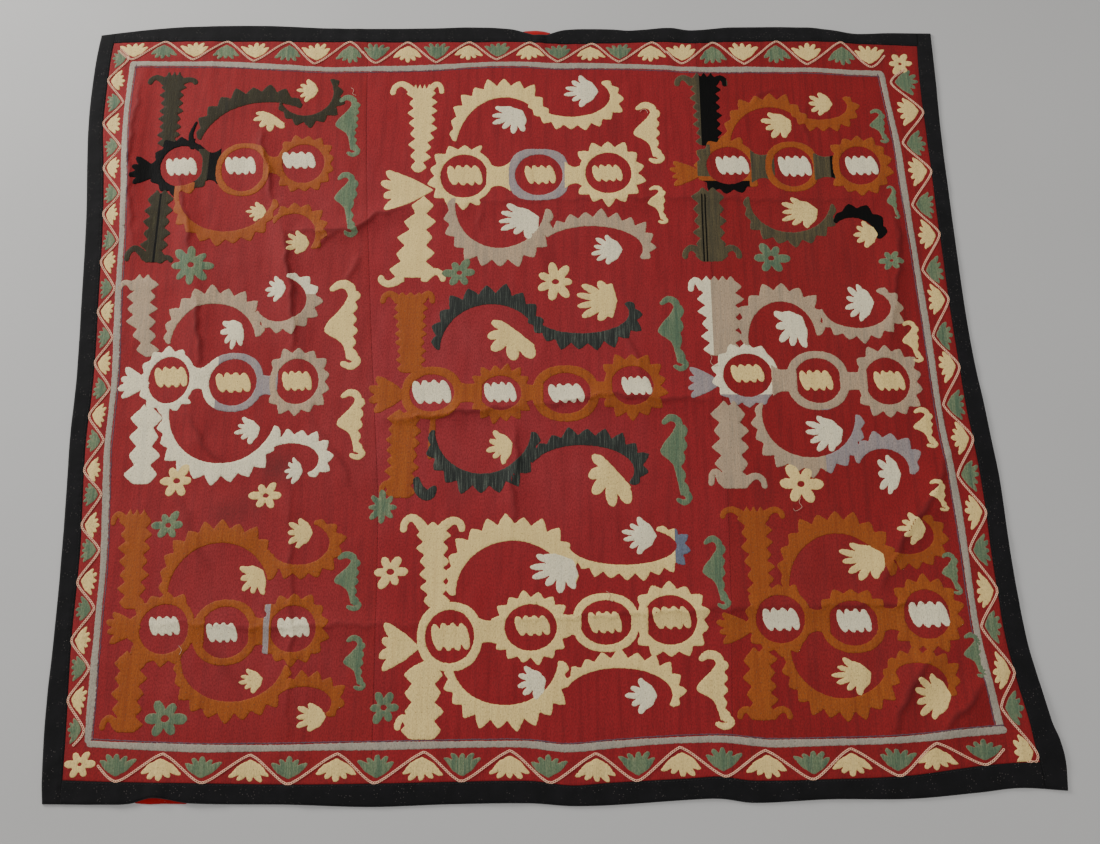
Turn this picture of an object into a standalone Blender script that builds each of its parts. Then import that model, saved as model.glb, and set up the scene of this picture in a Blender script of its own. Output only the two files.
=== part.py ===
"""Suzani: an embroidered cotton hanging, laid out flat.

Three widths of red ground cloth lie side by side on a thin lining. A black strip is sewn round
them: two side strips of full height, with the top and bottom strips between them. The cloth has
the creases of long folding and the slightly leaning outline of hand-cut work.

Units are metres and +Z is up. The origin is the middle of the outline's bounding box, on the floor.
"""
import math
from typing import NamedTuple

import bmesh
import bpy

MM = 0.001

# Driving sizes
PIECE_GAP = 0.3 * MM
LINING_THICKNESS = 1.0 * MM
GROUND_THICKNESS = 1.4 * MM
STRIP_THICKNESS = 2.2 * MM
LINING_INSET = 4.0 * MM

# Mesh steps
GROUND_ROWS = 40
LEFT_COLUMNS = 14
MIDDLE_COLUMNS = 19
RIGHT_COLUMNS = 14
STRIP_SHARES = (0.0, 0.35, 0.7, 1.0)
SETTLING_ROUNDS = 5
CREASE_END_SHARE = 0.35


class EdgeRow(NamedTuple):
    """One station of an edge, in millimetres: where it is, the strip's outer and its inner edge."""

    along: float
    outer: float
    inner: float


class SeamRow(NamedTuple):
    """One station of a seam between two ground widths, in millimetres."""

    along: float
    across: float


class Fold(NamedTuple):
    """A crease or a swelling of the cloth, in millimetres: its route, half width and height."""

    name: str
    route: tuple
    half_width: float
    height: float


class Peek(NamedTuple):
    """A stretch, in millimetres, where the lining reaches past the strip's edge."""

    start: float
    end: float
    reach: float


class Finish(NamedTuple):
    """A cloth's linear colour and roughness."""

    colour: tuple
    roughness: float


LEFT_RED = Finish((0.31, 0.020, 0.026), 0.85)
MIDDLE_RED = Finish((0.30, 0.018, 0.026), 0.85)
RIGHT_RED = Finish((0.27, 0.010, 0.014), 0.85)
STRIP_BLACK = Finish((0.010, 0.011, 0.013), 0.9)
LINING_RED = Finish((0.42, 0.012, 0.016), 0.8)


TOP_EDGE = (
    EdgeRow(-632, 521.0, 506.0),
    EdgeRow(-560, 531.0, 509.0),
    EdgeRow(-500, 536.0, 509.5),
    EdgeRow(-386, 537.3, 509.5),
    EdgeRow(-290, 533.0, 508.5),
    EdgeRow(-150, 533.0, 508.5),
    EdgeRow(-94, 535.0, 508.5),
    EdgeRow(-34, 531.5, 509.0),
    EdgeRow(8, 520.0, 506.0),
    EdgeRow(46, 530.5, 505.0),
    EdgeRow(110, 531.5, 506.5),
    EdgeRow(140, 529.5, 507.5),
    EdgeRow(198, 534.0, 508.5),
    EdgeRow(227, 530.0, 507.0),
    EdgeRow(286, 534.5, 509.0),
    EdgeRow(403, 534.0, 509.5),
    EdgeRow(460, 523.5, 505.5),
    EdgeRow(519, 525.0, 503.5),
    EdgeRow(578, 524.5, 501.0),
)

BOTTOM_EDGE = (
    EdgeRow(-574, -534.5, -507.0),
    EdgeRow(-500, -535.0, -509.5),
    EdgeRow(-470, -534.0, -510.0),
    EdgeRow(-444, -527.5, -510.5),
    EdgeRow(-400, -533.5, -511.0),
    EdgeRow(-282, -535.0, -512.5),
    EdgeRow(-188, -537.5, -511.5),
    EdgeRow(-94, -534.5, -509.5),
    EdgeRow(0, -533.5, -508.5),
    EdgeRow(47, -536.5, -513.5),
    EdgeRow(94, -535.5, -510.5),
    EdgeRow(188, -529.5, -505.5),
    EdgeRow(223, -528.5, -503.5),
    EdgeRow(262, -533.0, -508.0),
    EdgeRow(352, -529.0, -506.5),
    EdgeRow(446, -528.5, -502.5),
    EdgeRow(528, -521.5, -492.0),
    EdgeRow(576, -516.5, -488.0),
    EdgeRow(632, -519.5, -487.0),
)

LEFT_EDGE = (
    EdgeRow(-535, -572.5, -550.5),
    EdgeRow(-507, -576.5, -551.5),
    EdgeRow(-440, -582.0, -555.5),
    EdgeRow(-345, -584.5, -562.0),
    EdgeRow(-247, -588.0, -564.5),
    EdgeRow(-144, -594.0, -572.5),
    EdgeRow(-91, -597.5, -576.0),
    EdgeRow(-9, -599.5, -576.5),
    EdgeRow(104, -607.0, -583.5),
    EdgeRow(225, -616.0, -592.0),
    EdgeRow(317, -626.0, -602.5),
    EdgeRow(365, -630.5, -609.0),
    EdgeRow(413, -633.0, -611.0),
    EdgeRow(480, -633.1, -611.5),
    EdgeRow(521, -630.5, -609.5),
)

RIGHT_EDGE = (
    EdgeRow(-520, 631.5, 604.0),
    EdgeRow(-488, 633.5, 602.0),
    EdgeRow(-463, 630.0, 598.0),
    EdgeRow(-440, 622.5, 594.5),
    EdgeRow(-393, 613.5, 586.0),
    EdgeRow(-345, 605.5, 578.5),
    EdgeRow(-247, 599.0, 574.5),
    EdgeRow(-144, 597.0, 572.5),
    EdgeRow(-90, 592.5, 568.5),
    EdgeRow(-36, 588.0, 563.5),
    EdgeRow(20, 582.5, 561.0),
    EdgeRow(104, 578.5, 558.0),
    EdgeRow(285, 575.5, 554.5),
    EdgeRow(365, 575.0, 553.5),
    EdgeRow(446, 576.5, 552.5),
    EdgeRow(524, 577.0, 556.0),
)

LEFT_SEAM = (
    SeamRow(-512, -188),
    SeamRow(-300, -192),
    SeamRow(-170, -196),
    SeamRow(-60, -205),
    SeamRow(90, -218),
    SeamRow(330, -235),
    SeamRow(510, -242),
)

RIGHT_SEAM = (
    SeamRow(-512, 237),
    SeamRow(-450, 240),
    SeamRow(-250, 247),
    SeamRow(-60, 248),
    SeamRow(180, 241),
    SeamRow(510, 233),
)

BOTTOM_PEEK = Peek(-468, -404, -534.5)
TOP_PEEK = Peek(-20, 22, 529.5)

CREASES = (
    Fold("long crease by the left stripe", ((-563, 440), (-566, 340), (-556, 240), (-541, 175)), 17, 5.0),
    Fold("second left crease", ((-491, 300), (-474, 210), (-452, 100), (-438, 5)), 17, 4.5),
    Fold("second left crease, lower part", ((-462, -35), (-430, -90), (-392, -122)), 18, 3.0),
    Fold("third left crease", ((-386, 368), (-372, 300), (-362, 250)), 15, 3.0),
    Fold("third left crease, lower part", ((-350, 240), (-338, 170), (-324, 90), (-312, 0)), 17, 5.0),
    Fold("slant towards the left seam", ((-285, -60), (-248, -105), (-222, -150)), 18, 2.5),
    Fold("kink at the left seam", ((-330, 203), (-262, 205), (-218, 228), (-150, 246)), 15, 4.0),
    Fold("upper quarter fold", ((-150, 246), (0, 251), (250, 257), (480, 254)), 15, 2.5),
    Fold("middle fold, left part", ((-200, -62), (-110, -54), (-10, -43)), 15, 4.0),
    Fold("middle fold, right part", ((-10, -43), (90, -35), (160, -36), (245, -40)), 15, 4.5),
    Fold("lower quarter fold, left part", ((-490, -322), (-330, -328), (-120, -327)), 15, 2.5),
    Fold("lower quarter fold, right part", ((-60, -321), (60, -316), (250, -306), (500, -300)), 15, 3.5),
    Fold("short upright crease", ((-27, -55), (-23, -130), (-24, -205)), 14, 4.0),
    Fold("upright crease, bottom left", ((-308, -150), (-296, -300), (-291, -470)), 14, 2.5),
    Fold("crease by the right stripe", ((497, 255), (490, 170), (482, 100), (458, 0)), 17, 4.5),
    Fold("slanting crease, right", ((541, -95), (505, -175), (455, -235), (428, -292)), 19, 4.5),
    Fold("slanting crease, corner", ((505, -350), (462, -395), (432, -455)), 19, 5.0),
    Fold("last slanting crease", ((556, -385), (522, -428), (485, -462)), 18, 4.5),
    Fold("small crease in the middle", ((124, 52), (140, 20), (142, -12)), 14, 2.0),
)

SWELLINGS = (
    Fold("left panel's upper swelling", ((-450, 330), (-430, 60)), 80, 3.0),
    Fold("left panel's lower swelling", ((-420, -170), (-380, -250)), 70, 2.5),
    Fold("middle panel's swelling", ((-110, 160), (70, 150)), 75, 2.0),
    Fold("middle panel's lower swelling", ((40, -180), (100, -190)), 80, 2.5),
    Fold("right panel's swelling", ((380, 120), (420, -160)), 75, 2.5),
    Fold("bottom right corner's swelling", ((560, -300), (500, -410)), 60, 3.5),
    Fold("lifted edge over the top notch", ((-2, 524), (18, 524)), 30, 4.5),
    Fold("lifted edge over the bottom notch", ((-455, -530), (-425, -530)), 30, 4.0),
    Fold("ripple of the top strip", ((420, 520), (470, 520)), 24, 3.0),
    Fold("ripple of the right strip", ((598, -400), (624, -450)), 30, 3.0),
)


def lerp(start, end, share):
    """The value a share of the way from start to end."""
    return start + (end - start) * share


def read_rows(rows, along, column):
    """A column of a table at a place between its rows, on a smooth curve, in metres."""
    along = along / MM
    places = [row.along for row in rows]
    values = [getattr(row, column) for row in rows]
    along = min(max(along, places[0]), places[-1])
    index = max(i for i in range(len(rows) - 1) if places[i] <= along)
    before, after = max(index - 1, 0), min(index + 2, len(rows) - 1)
    step = places[index + 1] - places[index]
    slope_start = (values[index + 1] - values[before]) / (places[index + 1] - places[before])
    slope_end = (values[after] - values[index]) / (places[after] - places[index])
    t = (along - places[index]) / step
    value = (
        values[index] * (2 * t**3 - 3 * t**2 + 1)
        + slope_start * step * (t**3 - 2 * t**2 + t)
        + values[index + 1] * (3 * t**2 - 2 * t**3)
        + slope_end * step * (t**3 - t**2)
    )
    return value * MM


def fold_height(fold, x, y):
    """How far a fold lifts the cloth at a place, in metres. A fold fades towards its ends."""
    lengths = [math.dist(a, b) for a, b in zip(fold.route, fold.route[1:])]
    passed, nearest, share = 0.0, math.inf, 0.0
    for (ax, ay), (bx, by), length in zip(fold.route, fold.route[1:], lengths):
        t = ((x / MM - ax) * (bx - ax) + (y / MM - ay) * (by - ay)) / length**2
        t = min(max(t, 0.0), 1.0)
        distance = math.dist((x / MM, y / MM), (lerp(ax, bx, t), lerp(ay, by, t)))
        if distance < nearest:
            nearest, share = distance, (passed + t * length) / sum(lengths)
        passed += length
    fading = lerp(CREASE_END_SHARE, 1.0, math.sin(math.pi * share))
    return fold.height * MM * fading * math.exp(-((nearest / fold.half_width) ** 2))


def underside(x, y):
    """Height of the ground cloth's and the strips' underside: on the lining, lifted by the folds."""
    swelling = sum(fold_height(fold, x, y) for fold in SWELLINGS)
    crease = max(fold_height(fold, x, y) for fold in CREASES)
    return LINING_THICKNESS + PIECE_GAP + swelling + crease


def meeting_point(left, right, bottom, top, across, up):
    """The place at given shares across and up a field bounded by four curves."""
    x = y = 0.0
    for _ in range(SETTLING_ROUNDS):
        x = lerp(left(y), right(y), across)
        y = lerp(bottom(x), top(x), up)
    return x, y


def make_sheet(name, stations, thickness, material):
    """A closed sheet over rows of plan points, each lifted onto the folds."""
    rows, columns = len(stations), len(stations[0])
    bm = bmesh.new()
    bmesh.ops.create_grid(bm, x_segments=columns - 1, y_segments=rows - 1, size=0.5)
    for vert in bm.verts:
        column = round((vert.co.x + 0.5) * (columns - 1))
        row = round((vert.co.y + 0.5) * (rows - 1))
        x, y = stations[row][column]
        vert.co = (x, y, underside(x, y))
    grown = bmesh.ops.extrude_face_region(bm, geom=bm.faces[:], use_keep_orig=True)
    upper = [item for item in grown["geom"] if isinstance(item, bmesh.types.BMVert)]
    bmesh.ops.translate(bm, verts=upper, vec=(0.0, 0.0, thickness))
    bmesh.ops.recalc_face_normals(bm, faces=bm.faces[:])
    mesh = bpy.data.meshes.new(name)
    bm.to_mesh(mesh)
    bm.free()
    mesh.materials.append(material)
    mesh.shade_smooth()
    return bpy.data.objects.new(name, mesh)


def make_material(name, finish):
    """The material of one cloth."""
    material = bpy.data.materials.new(name)
    material.use_nodes = True
    shader = material.node_tree.nodes["Principled BSDF"]
    shader.inputs["Base Color"].default_value = (*finish.colour, 1.0)
    shader.inputs["Roughness"].default_value = finish.roughness
    shader.inputs["Metallic"].default_value = 0.0
    return material


def edge_curve(rows, column, offset=0.0):
    """A function that gives an edge's place, moved by an offset."""
    return lambda along: read_rows(rows, along, column) + offset


def ground_stations(left, right, columns):
    """Rows of plan points for one ground width between two upright curves."""
    bottom = edge_curve(BOTTOM_EDGE, "inner", PIECE_GAP / 2)
    top = edge_curve(TOP_EDGE, "inner", -PIECE_GAP / 2)
    return [
        [meeting_point(left, right, bottom, top, i / columns, j / GROUND_ROWS) for i in range(columns + 1)]
        for j in range(GROUND_ROWS + 1)
    ]


def cross_strip(inner, outer):
    """Points across a strip, from its inner to its outer edge."""
    return [(lerp(inner[0], outer[0], s), lerp(inner[1], outer[1], s)) for s in STRIP_SHARES]


def side_strip_stations(rows, inner_edge, away):
    """Stations of a strip of full height beside the ground's edge; away is -1 at the left, 1 at the right."""
    outer_x = edge_curve(rows, "outer")
    stations = []
    inner = [(x + away * PIECE_GAP, y) for x, y in inner_edge]
    for end_rows, corner in ((BOTTOM_EDGE, inner[0]), (TOP_EDGE, inner[-1])):
        end_y = edge_curve(end_rows, "outer")
        x = outer_x(corner[1])
        outer_corner = (outer_x(end_y(x)), end_y(x))
        stations.append(cross_strip((corner[0], end_y(corner[0])), outer_corner))
    middle = [cross_strip(point, (outer_x(point[1]), point[1])) for point in inner]
    return [stations[0], *middle, stations[1]]


def end_strip_stations(rows, inner_edge, away):
    """Stations of the top or bottom strip, which lies between the side strips; away is 1 or -1."""
    outer_y = edge_curve(rows, "outer")
    return [cross_strip((x, y + away * PIECE_GAP), (x, outer_y(x))) for x, y in inner_edge]


def lining_corner(side_rows, away_x, end_rows, away_y):
    """A corner of the lining's outline; away_x and away_y point out of the cloth."""
    x, y = side_rows[0].outer * MM, end_rows[0].outer * MM
    for _ in range(SETTLING_ROUNDS):
        x = read_rows(side_rows, y, "outer") - away_x * LINING_INSET
        y = read_rows(end_rows, x, "outer") - away_y * LINING_INSET
    return x, y


def lining_end(rows, peek, away):
    """The lining's bottom or top edge from left to right, with the stretch that peeks out."""
    edge = [(peek.start * MM, peek.reach * MM), (peek.end * MM, peek.reach * MM)]
    for row in rows[1:-1]:
        if not peek.start <= row.along <= peek.end:
            edge.append((row.along * MM, row.outer * MM - away * LINING_INSET))
    return sorted(edge)


def lining_outline():
    """The lining's outline: the strips' outer edge moved in, round the cloth from the bottom left."""
    right = [(row.outer * MM - LINING_INSET, row.along * MM) for row in RIGHT_EDGE[1:-1]]
    left = [(row.outer * MM + LINING_INSET, row.along * MM) for row in LEFT_EDGE[1:-1]]
    return [
        lining_corner(LEFT_EDGE, -1, BOTTOM_EDGE, -1),
        *lining_end(BOTTOM_EDGE, BOTTOM_PEEK, -1),
        lining_corner(RIGHT_EDGE, 1, BOTTOM_EDGE, -1),
        *right,
        lining_corner(RIGHT_EDGE, 1, TOP_EDGE, 1),
        *reversed(lining_end(TOP_EDGE, TOP_PEEK, 1)),
        lining_corner(LEFT_EDGE, -1, TOP_EDGE, 1),
        *reversed(left),
    ]


def make_lining(material):
    """The flat lining, whose underside is the face that the textile rests on."""
    curve = bpy.data.curves.new("lining", "CURVE")
    curve.dimensions = "2D"
    curve.fill_mode = "BOTH"
    curve.extrude = LINING_THICKNESS / 2
    spline = curve.splines.new("POLY")
    outline = lining_outline()
    spline.points.add(len(outline) - 1)
    for point, (x, y) in zip(spline.points, outline):
        point.co = (x, y, 0.0, 1.0)
    spline.use_cyclic_u = True
    curve.materials.append(material)
    lining = bpy.data.objects.new("lining", curve)
    lining.location.z = LINING_THICKNESS / 2
    return lining


def main():
    """Builds the eight pieces in one collection."""
    for item in list(bpy.data.objects):
        bpy.data.objects.remove(item)
    collection = bpy.data.collections.new("suzani")
    bpy.context.scene.collection.children.link(collection)

    red_left = make_material("red ground, left width", LEFT_RED)
    red_middle = make_material("red ground, middle width", MIDDLE_RED)
    red_right = make_material("red ground, right width", RIGHT_RED)
    black = make_material("black strip", STRIP_BLACK)
    bright_red = make_material("red lining", LINING_RED)

    half = PIECE_GAP / 2
    left = edge_curve(LEFT_EDGE, "inner", half)
    right = edge_curve(RIGHT_EDGE, "inner", -half)
    grounds = {
        "panel_left": (left, edge_curve(LEFT_SEAM, "across", -half), LEFT_COLUMNS, red_left),
        "panel_middle": (
            edge_curve(LEFT_SEAM, "across", half),
            edge_curve(RIGHT_SEAM, "across", -half),
            MIDDLE_COLUMNS,
            red_middle,
        ),
        "panel_right": (edge_curve(RIGHT_SEAM, "across", half), right, RIGHT_COLUMNS, red_right),
    }
    stations = {}
    for name, (left_curve, right_curve, columns, material) in grounds.items():
        stations[name] = ground_stations(left_curve, right_curve, columns)
        collection.objects.link(make_sheet(name, stations[name], GROUND_THICKNESS, material))

    left_edge = [row[0] for row in stations["panel_left"]]
    right_edge = [row[-1] for row in stations["panel_right"]]
    top_edge = stations["panel_left"][-1] + stations["panel_middle"][-1][1:] + stations["panel_right"][-1][1:]
    bottom_edge = stations["panel_left"][0] + stations["panel_middle"][0][1:] + stations["panel_right"][0][1:]
    strips = {
        "binding_left": side_strip_stations(LEFT_EDGE, left_edge, -1),
        "binding_right": side_strip_stations(RIGHT_EDGE, right_edge, 1),
        "binding_top": end_strip_stations(TOP_EDGE, top_edge, 1),
        "binding_bottom": end_strip_stations(BOTTOM_EDGE, bottom_edge, -1),
    }
    for name, rows in strips.items():
        collection.objects.link(make_sheet(name, rows, STRIP_THICKNESS, black))
    collection.objects.link(make_lining(bright_red))


main()
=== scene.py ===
"""Looks of the suzani: couched red ground, raised motifs, chain-stitched vine, dark edge strips.

Plan sizes are in millimetres, in the textile's own frame: x to the right, y towards the top edge, z up.
Meshes are in metres. Every thread and cloth height comes from one lie of the cloth, ClothLie.
"""

import logging
import math
from dataclasses import dataclass, field
from enum import Enum
from typing import Callable, Iterable, NamedTuple, Optional, Sequence, Union

import bpy
import numpy as np
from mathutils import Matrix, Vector
from mathutils.geometry import delaunay_2d_cdt

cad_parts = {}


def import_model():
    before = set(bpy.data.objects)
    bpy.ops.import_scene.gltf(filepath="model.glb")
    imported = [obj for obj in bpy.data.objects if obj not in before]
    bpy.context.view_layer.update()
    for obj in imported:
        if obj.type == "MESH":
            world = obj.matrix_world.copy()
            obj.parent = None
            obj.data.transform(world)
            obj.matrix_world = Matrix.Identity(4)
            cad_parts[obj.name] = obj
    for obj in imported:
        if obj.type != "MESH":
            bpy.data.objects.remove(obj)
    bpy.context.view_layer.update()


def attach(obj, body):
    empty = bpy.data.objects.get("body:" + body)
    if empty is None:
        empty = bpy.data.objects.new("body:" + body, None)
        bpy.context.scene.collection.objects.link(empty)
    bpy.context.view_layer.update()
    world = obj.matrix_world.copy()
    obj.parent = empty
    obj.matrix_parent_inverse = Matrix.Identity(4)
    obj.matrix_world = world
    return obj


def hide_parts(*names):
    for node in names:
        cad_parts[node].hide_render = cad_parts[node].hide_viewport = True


MM = 0.001
LOG = logging.getLogger("suzani")
Point = tuple[float, float]
Colour = tuple[float, float, float]
Curve = Callable[[np.ndarray], np.ndarray]
Feed = Union[float, tuple, bpy.types.NodeSocket]


class Thread(Enum):
    """The thread colours of the embroidery."""

    CREAM = "cream"
    WHITE = "white"
    BEIGE = "beige"
    LILAC = "lilac"
    OCHRE = "ochre"
    PINE = "pine"
    OLIVE = "olive"
    MOSS = "moss"
    TEAL = "teal"
    BLACK = "black"
    BLUE = "blue"
    ASH = "ash"
    VIOLET = "violet"


CREAM, WHITE, BEIGE, LILAC, OCHRE, PINE, OLIVE, MOSS, TEAL, BLACK, BLUE, ASH, VIOLET = Thread
THREADS = list(Thread)


def srgb(red: float, green: float, blue: float) -> Colour:
    """Turns a display colour, 0 to 255, into the linear colour that shaders take."""
    shares = [value / 255 for value in (red, green, blue)]
    return tuple(s / 12.92 if s <= 0.04045 else ((s + 0.055) / 1.055) ** 2.4 for s in shares)


# The cloth's edges, seams and folds, as in the solids


class EdgeRow(NamedTuple):
    """One station of an edge: where it is along it, the strip's outer and its inner edge."""

    along: float
    outer: float
    inner: float


class SeamRow(NamedTuple):
    """One station of a seam between two ground widths."""

    along: float
    across: float


class Fold(NamedTuple):
    """A crease or a swelling of the cloth: its route, half width and height."""

    name: str
    route: tuple[Point, ...]
    half_width: float
    height: float


class Spot(NamedTuple):
    """A soft round place on the cloth, such as a faded one."""

    x: float
    y: float
    radius: float
    strength: float


TOP_EDGE = (
    EdgeRow(-632, 521.0, 506.0),
    EdgeRow(-560, 531.0, 509.0),
    EdgeRow(-500, 536.0, 509.5),
    EdgeRow(-386, 537.3, 509.5),
    EdgeRow(-290, 533.0, 508.5),
    EdgeRow(-150, 533.0, 508.5),
    EdgeRow(-94, 535.0, 508.5),
    EdgeRow(-34, 531.5, 509.0),
    EdgeRow(8, 520.0, 506.0),
    EdgeRow(46, 530.5, 505.0),
    EdgeRow(110, 531.5, 506.5),
    EdgeRow(140, 529.5, 507.5),
    EdgeRow(198, 534.0, 508.5),
    EdgeRow(227, 530.0, 507.0),
    EdgeRow(286, 534.5, 509.0),
    EdgeRow(403, 534.0, 509.5),
    EdgeRow(460, 523.5, 505.5),
    EdgeRow(519, 525.0, 503.5),
    EdgeRow(578, 524.5, 501.0),
)

BOTTOM_EDGE = (
    EdgeRow(-574, -534.5, -507.0),
    EdgeRow(-500, -535.0, -509.5),
    EdgeRow(-470, -534.0, -510.0),
    EdgeRow(-444, -527.5, -510.5),
    EdgeRow(-400, -533.5, -511.0),
    EdgeRow(-282, -535.0, -512.5),
    EdgeRow(-188, -537.5, -511.5),
    EdgeRow(-94, -534.5, -509.5),
    EdgeRow(0, -533.5, -508.5),
    EdgeRow(47, -536.5, -513.5),
    EdgeRow(94, -535.5, -510.5),
    EdgeRow(188, -529.5, -505.5),
    EdgeRow(223, -528.5, -503.5),
    EdgeRow(262, -533.0, -508.0),
    EdgeRow(352, -529.0, -506.5),
    EdgeRow(446, -528.5, -502.5),
    EdgeRow(528, -521.5, -492.0),
    EdgeRow(576, -516.5, -488.0),
    EdgeRow(632, -519.5, -487.0),
)

LEFT_EDGE = (
    EdgeRow(-535, -572.5, -550.5),
    EdgeRow(-507, -576.5, -551.5),
    EdgeRow(-440, -582.0, -555.5),
    EdgeRow(-345, -584.5, -562.0),
    EdgeRow(-247, -588.0, -564.5),
    EdgeRow(-144, -594.0, -572.5),
    EdgeRow(-91, -597.5, -576.0),
    EdgeRow(-9, -599.5, -576.5),
    EdgeRow(104, -607.0, -583.5),
    EdgeRow(225, -616.0, -592.0),
    EdgeRow(317, -626.0, -602.5),
    EdgeRow(365, -630.5, -609.0),
    EdgeRow(413, -633.0, -611.0),
    EdgeRow(480, -633.1, -611.5),
    EdgeRow(521, -630.5, -609.5),
)

RIGHT_EDGE = (
    EdgeRow(-520, 631.5, 604.0),
    EdgeRow(-488, 633.5, 602.0),
    EdgeRow(-463, 630.0, 598.0),
    EdgeRow(-440, 622.5, 594.5),
    EdgeRow(-393, 613.5, 586.0),
    EdgeRow(-345, 605.5, 578.5),
    EdgeRow(-247, 599.0, 574.5),
    EdgeRow(-144, 597.0, 572.5),
    EdgeRow(-90, 592.5, 568.5),
    EdgeRow(-36, 588.0, 563.5),
    EdgeRow(20, 582.5, 561.0),
    EdgeRow(104, 578.5, 558.0),
    EdgeRow(285, 575.5, 554.5),
    EdgeRow(365, 575.0, 553.5),
    EdgeRow(446, 576.5, 552.5),
    EdgeRow(524, 577.0, 556.0),
)

LEFT_SEAM = (
    SeamRow(-512, -188),
    SeamRow(-300, -192),
    SeamRow(-170, -196),
    SeamRow(-60, -205),
    SeamRow(90, -218),
    SeamRow(330, -235),
    SeamRow(510, -242),
)

RIGHT_SEAM = (
    SeamRow(-512, 237),
    SeamRow(-450, 240),
    SeamRow(-250, 247),
    SeamRow(-60, 248),
    SeamRow(180, 241),
    SeamRow(510, 233),
)

CREASES = (
    Fold("long crease by the left stripe", ((-563, 440), (-566, 340), (-556, 240), (-541, 175)), 17, 5.0),
    Fold("second left crease", ((-491, 300), (-474, 210), (-452, 100), (-438, 5)), 17, 4.5),
    Fold("second left crease, lower part", ((-462, -35), (-430, -90), (-392, -122)), 18, 3.0),
    Fold("third left crease", ((-386, 368), (-372, 300), (-362, 250)), 15, 3.0),
    Fold("third left crease, lower part", ((-350, 240), (-338, 170), (-324, 90), (-312, 0)), 17, 5.0),
    Fold("slant towards the left seam", ((-285, -60), (-248, -105), (-222, -150)), 18, 2.5),
    Fold("kink at the left seam", ((-330, 203), (-262, 205), (-218, 228), (-150, 246)), 15, 4.0),
    Fold("upper quarter fold", ((-150, 246), (0, 251), (250, 257), (480, 254)), 15, 2.5),
    Fold("middle fold, left part", ((-200, -62), (-110, -54), (-10, -43)), 15, 4.0),
    Fold("middle fold, right part", ((-10, -43), (90, -35), (160, -36), (245, -40)), 15, 4.5),
    Fold("lower quarter fold, left part", ((-490, -322), (-330, -328), (-120, -327)), 15, 2.5),
    Fold("lower quarter fold, right part", ((-60, -321), (60, -316), (250, -306), (500, -300)), 15, 3.5),
    Fold("short upright crease", ((-27, -55), (-23, -130), (-24, -205)), 14, 4.0),
    Fold("upright crease, bottom left", ((-308, -150), (-296, -300), (-291, -470)), 14, 2.5),
    Fold("crease by the right stripe", ((497, 255), (490, 170), (482, 100), (458, 0)), 17, 4.5),
    Fold("slanting crease, right", ((541, -95), (505, -175), (455, -235), (428, -292)), 19, 4.5),
    Fold("slanting crease, corner", ((505, -350), (462, -395), (432, -455)), 19, 5.0),
    Fold("last slanting crease", ((556, -385), (522, -428), (485, -462)), 18, 4.5),
    Fold("small crease in the middle", ((124, 52), (140, 20), (142, -12)), 14, 2.0),
)

SWELLINGS = (
    Fold("left panel's upper swelling", ((-450, 330), (-430, 60)), 80, 3.0),
    Fold("left panel's lower swelling", ((-420, -170), (-380, -250)), 70, 2.5),
    Fold("middle panel's swelling", ((-110, 160), (70, 150)), 75, 2.0),
    Fold("middle panel's lower swelling", ((40, -180), (100, -190)), 80, 2.5),
    Fold("right panel's swelling", ((380, 120), (420, -160)), 75, 2.5),
    Fold("bottom right corner's swelling", ((560, -300), (500, -410)), 60, 3.5),
    Fold("lifted edge over the top notch", ((-2, 524), (18, 524)), 30, 4.5),
    Fold("lifted edge over the bottom notch", ((-455, -530), (-425, -530)), 30, 4.0),
    Fold("ripple of the top strip", ((420, 520), (470, 520)), 24, 3.0),
    Fold("ripple of the right strip", ((598, -400), (624, -450)), 30, 3.0),
)

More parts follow.
